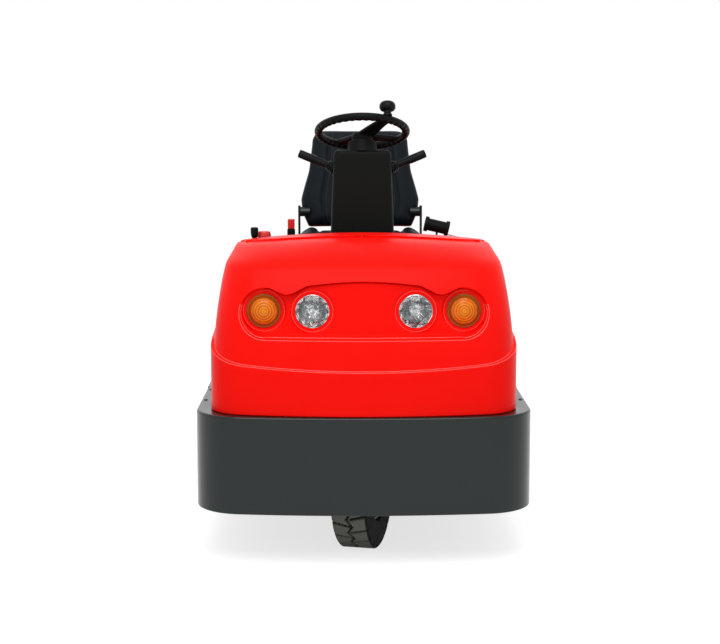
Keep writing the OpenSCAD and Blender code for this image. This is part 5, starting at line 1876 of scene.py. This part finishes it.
@dataclass
class Chassis:
    """Steel frame, fork, drive axle, coupling and the red rear body."""

    plate_edge: float = 2.0
    moulding_edge: float = 8.0
    bolt_spots: tuple[Pair, ...] = ((-330, 420), (-330, 200), (0, 420), (0, 200))
    bolt_r: float = 9.0
    bolt_h: float = 4.0
    lamp_rim: float = 7.0
    lamp_dome: float = 4.0
    lamp_ring_pitch: float = 7.0
    lamp_ring_rise: float = 0.7

    def build_frame(self) -> None:
        """Builds the welded frame."""
        plates = (("frame_side_plates", "side_plates"), ("frame_floor_pan", "floor_pan"),
                  ("frame_rear_sub_frame", "rear_frame"), ("frame_front_well", "front_well"),
                  ("lid_hinge_ears", "lid_hinges"))
        build_solids([(*plate, self.plate_edge, GREY_STEEL, "tug", "frame_grey") for plate in plates])
        half = box_mm("side_plates")[1][0]
        for side in SIDES:
            places = np.array([(side * half, y, z) for y, z in self.bolt_spots])
            turn = (0.0, side * math.pi / 2, 0.0)
            made = screw_heads(f"plate_bolts_{side + 1}", places, self.bolt_r, self.bolt_h, BRIGHT_STEEL,
                               turn)
            dress(made, BRIGHT_STEEL, "tug", "bright_steel")

    def build_gear(self) -> None:
        """Builds the fork, axles, bearing, motor and battery."""
        build_solids([
            ("fork_weldment", "steer_fork", 3.0, GREY_STEEL, "fork", "frame_grey"),
            ("wheel_axle_pin", "front_axle", 1.5, BRIGHT_STEEL, "fork", "bright_steel"),
            ("kingpin_bearing", "steering_bearing", 2.0, CAST_IRON, "tug", "cast_grey"),
            ("axle_housing", "drive_axle", 6.0, CAST_IRON, "tug", "cast_grey"),
            ("motor_housing", "drive_motor", 6.0, CAST_IRON, "tug", "cast_grey"),
            ("battery_case", "battery_block", 5.0, BATTERY_PAINT, "tug", "battery_grey"),
        ])

    def build_rear(self) -> None:
        """Builds the red rear body, its lid and deck, and the tow coupling with its pin."""
        edge = self.moulding_edge
        build_solids([
            ("rear_cowl", "rear_body", edge, RED_MOULDING, "tug", "hood_red"),
            ("rear_top_deck", "rear_deck", edge, RED_MOULDING, "tug", "hood_red"),
            ("battery_cover", "battery_lid", edge, RED_MOULDING, "lid", "hood_red"),
            ("stepped_jaws", "tow_coupling", 2.5, CAST_IRON, "tug", "cast_grey"),
            ("drawbar_pin", "tow_pin", 1.5, BRIGHT_STEEL, "pin", "bright_steel"),
        ])

    def build_tail_lamps(self) -> None:
        """Builds the stop and turn lamps on the tail."""
        lamps = (("stop_lamps", RED_ACRYLIC, "red_lens"), ("rear_turn_lamps", AMBER_ACRYLIC, "amber_lens"))
        for node, finish, slot in lamps:
            low, high = box_mm(node)
            radius, middle, depth = (high[2] - low[2]) / 2, (low[2] + high[2]) / 2, high[1] - low[1]
            lens_r = radius - self.lamp_rim
            reach = np.linspace(0, lens_r, 30)
            rings = 0.5 - 0.5 * np.cos(2 * np.pi * reach / self.lamp_ring_pitch)
            rise = depth - self.lamp_dome * (reach / lens_r) ** 2 - self.lamp_ring_rise * rings
            edge = [(radius - 6, depth - 6), (radius - 5, depth - 5), (radius - 1.5, depth - 5),
                    (radius, depth - 6.5), (radius, 0.0), (0.0, 0.0)]
            profile = [*zip(reach, rise), *edge]
            seats = [moved((side * (high[0] - radius), low[1], middle)) for side in SIDES]
            grids = [revolved(profile, seat @ rotated(-90, "X"), 56) for seat in seats]
            made = grid_object(node + "_lenses", grids, crease_deg=30)
            paint_light_and_wear(made, lambda points: np.zeros(len(points)))
            dress(made, finish, "tug", slot, node)

    def build(self) -> None:
        """Builds the chassis and the rear."""
        self.build_frame()
        self.build_gear()
        self.build_rear()
        self.build_tail_lamps()


# Studio


def seen_directly(tree: Tree) -> Socket:
    """Gives 1 for what the camera sees, straight or by a mirror or glass, and 0 for light on the object."""
    ray = add_node(tree, "ShaderNodeLightPath")
    seen = ray.outputs["Is Camera Ray"]
    for other in ("Is Glossy Ray", "Is Transmission Ray"):
        seen = add_node(tree, "ShaderNodeMath", {0: seen, 1: ray.outputs[other]},
                        operation="MAXIMUM").outputs[0]
    return seen


@dataclass
class Studio:
    """White studio with a large soft light over the front of the tug."""

    camera_at: Triple = (-0.053, -5.268, 1.305)
    tilt_deg: float = 7.5
    pan_deg: float = -0.53
    lens: float = 76.5
    floor: float = 14.0
    floor_glow: float = 0.72
    ambient: float = 0.73
    key_size: float = 3.2
    key_power: float = 108.0
    key_at: Triple = (-0.2, -2.9, 3.9)
    key_aim: Triple = (0.0, -0.4, 0.6)

    def build_world(self) -> None:
        """Lights the scene evenly and shows plain white to the camera and in mirrors."""
        world = bpy.data.worlds.new("white_studio")
        world.use_nodes = True
        bpy.context.scene.world = world
        tree = world.node_tree
        tree.nodes.clear()
        seen = seen_directly(tree)
        level = add_node(tree, "ShaderNodeMapRange", {"Value": seen, "To Min": self.ambient, "To Max": 1.0})
        sky = add_node(tree, "ShaderNodeBackground",
                       {"Color": (1.0, 1.0, 1.0, 1.0), "Strength": level.outputs[0]})
        add_node(tree, "ShaderNodeOutputWorld", {"Surface": sky.outputs[0]})

    def build_floor(self) -> None:
        """Lays a white floor that fades into the background."""
        mesh = bmesh.new()
        bmesh.ops.create_grid(mesh, x_segments=1, y_segments=1, size=self.floor / 2)
        floor = new_object("studio_floor", mesh)
        material = bpy.data.materials.new("white_studio_floor")
        material.use_nodes = True
        shader = material.node_tree.nodes["Principled BSDF"]
        constants = {"Base Color": linear("#BEBEBE"), "Roughness": 0.9, "Specular IOR Level": 0.0,
                     "Emission Color": linear("#FFFFFF")}
        for socket, value in constants.items():
            shader.inputs[socket].default_value = value
        tree = material.node_tree
        glow = add_node(tree, "ShaderNodeMath", {0: seen_directly(tree), 1: self.floor_glow},
                        operation="MULTIPLY")
        tree.links.new(glow.outputs[0], shader.inputs["Emission Strength"])
        floor.data.materials.append(material)

    def build_light(self) -> None:
        """Hangs the soft key light."""
        light = bpy.data.lights.new("soft_key", "AREA")
        light.size = self.key_size
        light.energy = self.key_power
        key = bpy.data.objects.new("soft_key", light)
        key.location = self.key_at
        aim = Vector(self.key_aim) - key.location
        key.rotation_euler = aim.to_track_quat("-Z", "Y").to_euler()
        bpy.context.scene.collection.objects.link(key)

    def build_camera(self) -> None:
        """Sets the camera where the photograph was taken."""
        data = bpy.data.cameras.new("photo_camera")
        data.lens = self.lens
        camera = bpy.data.objects.new("photo_camera", data)
        camera.location = self.camera_at
        camera.rotation_euler = (math.radians(90 - self.tilt_deg), 0.0, math.radians(self.pan_deg))
        scene = bpy.context.scene
        scene.collection.objects.link(camera)
        scene.camera = camera
        scene.view_settings.view_transform = "Standard"

    def build(self) -> None:
        """Builds the whole studio."""
        self.build_world()
        self.build_floor()
        self.build_light()
        self.build_camera()


def main() -> None:
    """Builds every sub-assembly in order and notes the size of the result."""
    logging.basicConfig(level=logging.INFO, format="%(message)s")
    hood = Hood()
    FrontBumper().build(hood.skirt_plan(), hood.wall)
    hood.build_skirt()
    hood.build_shell()
    FrontLamps().build()
    wheel = SteeringWheel()
    column = Column()
    column.build_cover(wheel.axis())
    column.build_stalks()
    wheel.build()
    Controls().build(hood)
    Seat().build()
    Tyre("front", "front_wheel", 207.0, 108.0, turn_deg=-14.0, pitches=24).build()
    Tyre("rear_left", "rear_left_wheel", 230.0, 130.0).build()
    Tyre("rear_right", "rear_right_wheel", 230.0, 130.0).build()
    Chassis().build()
    Studio().build()


if __name__ == "__main__":
    main()
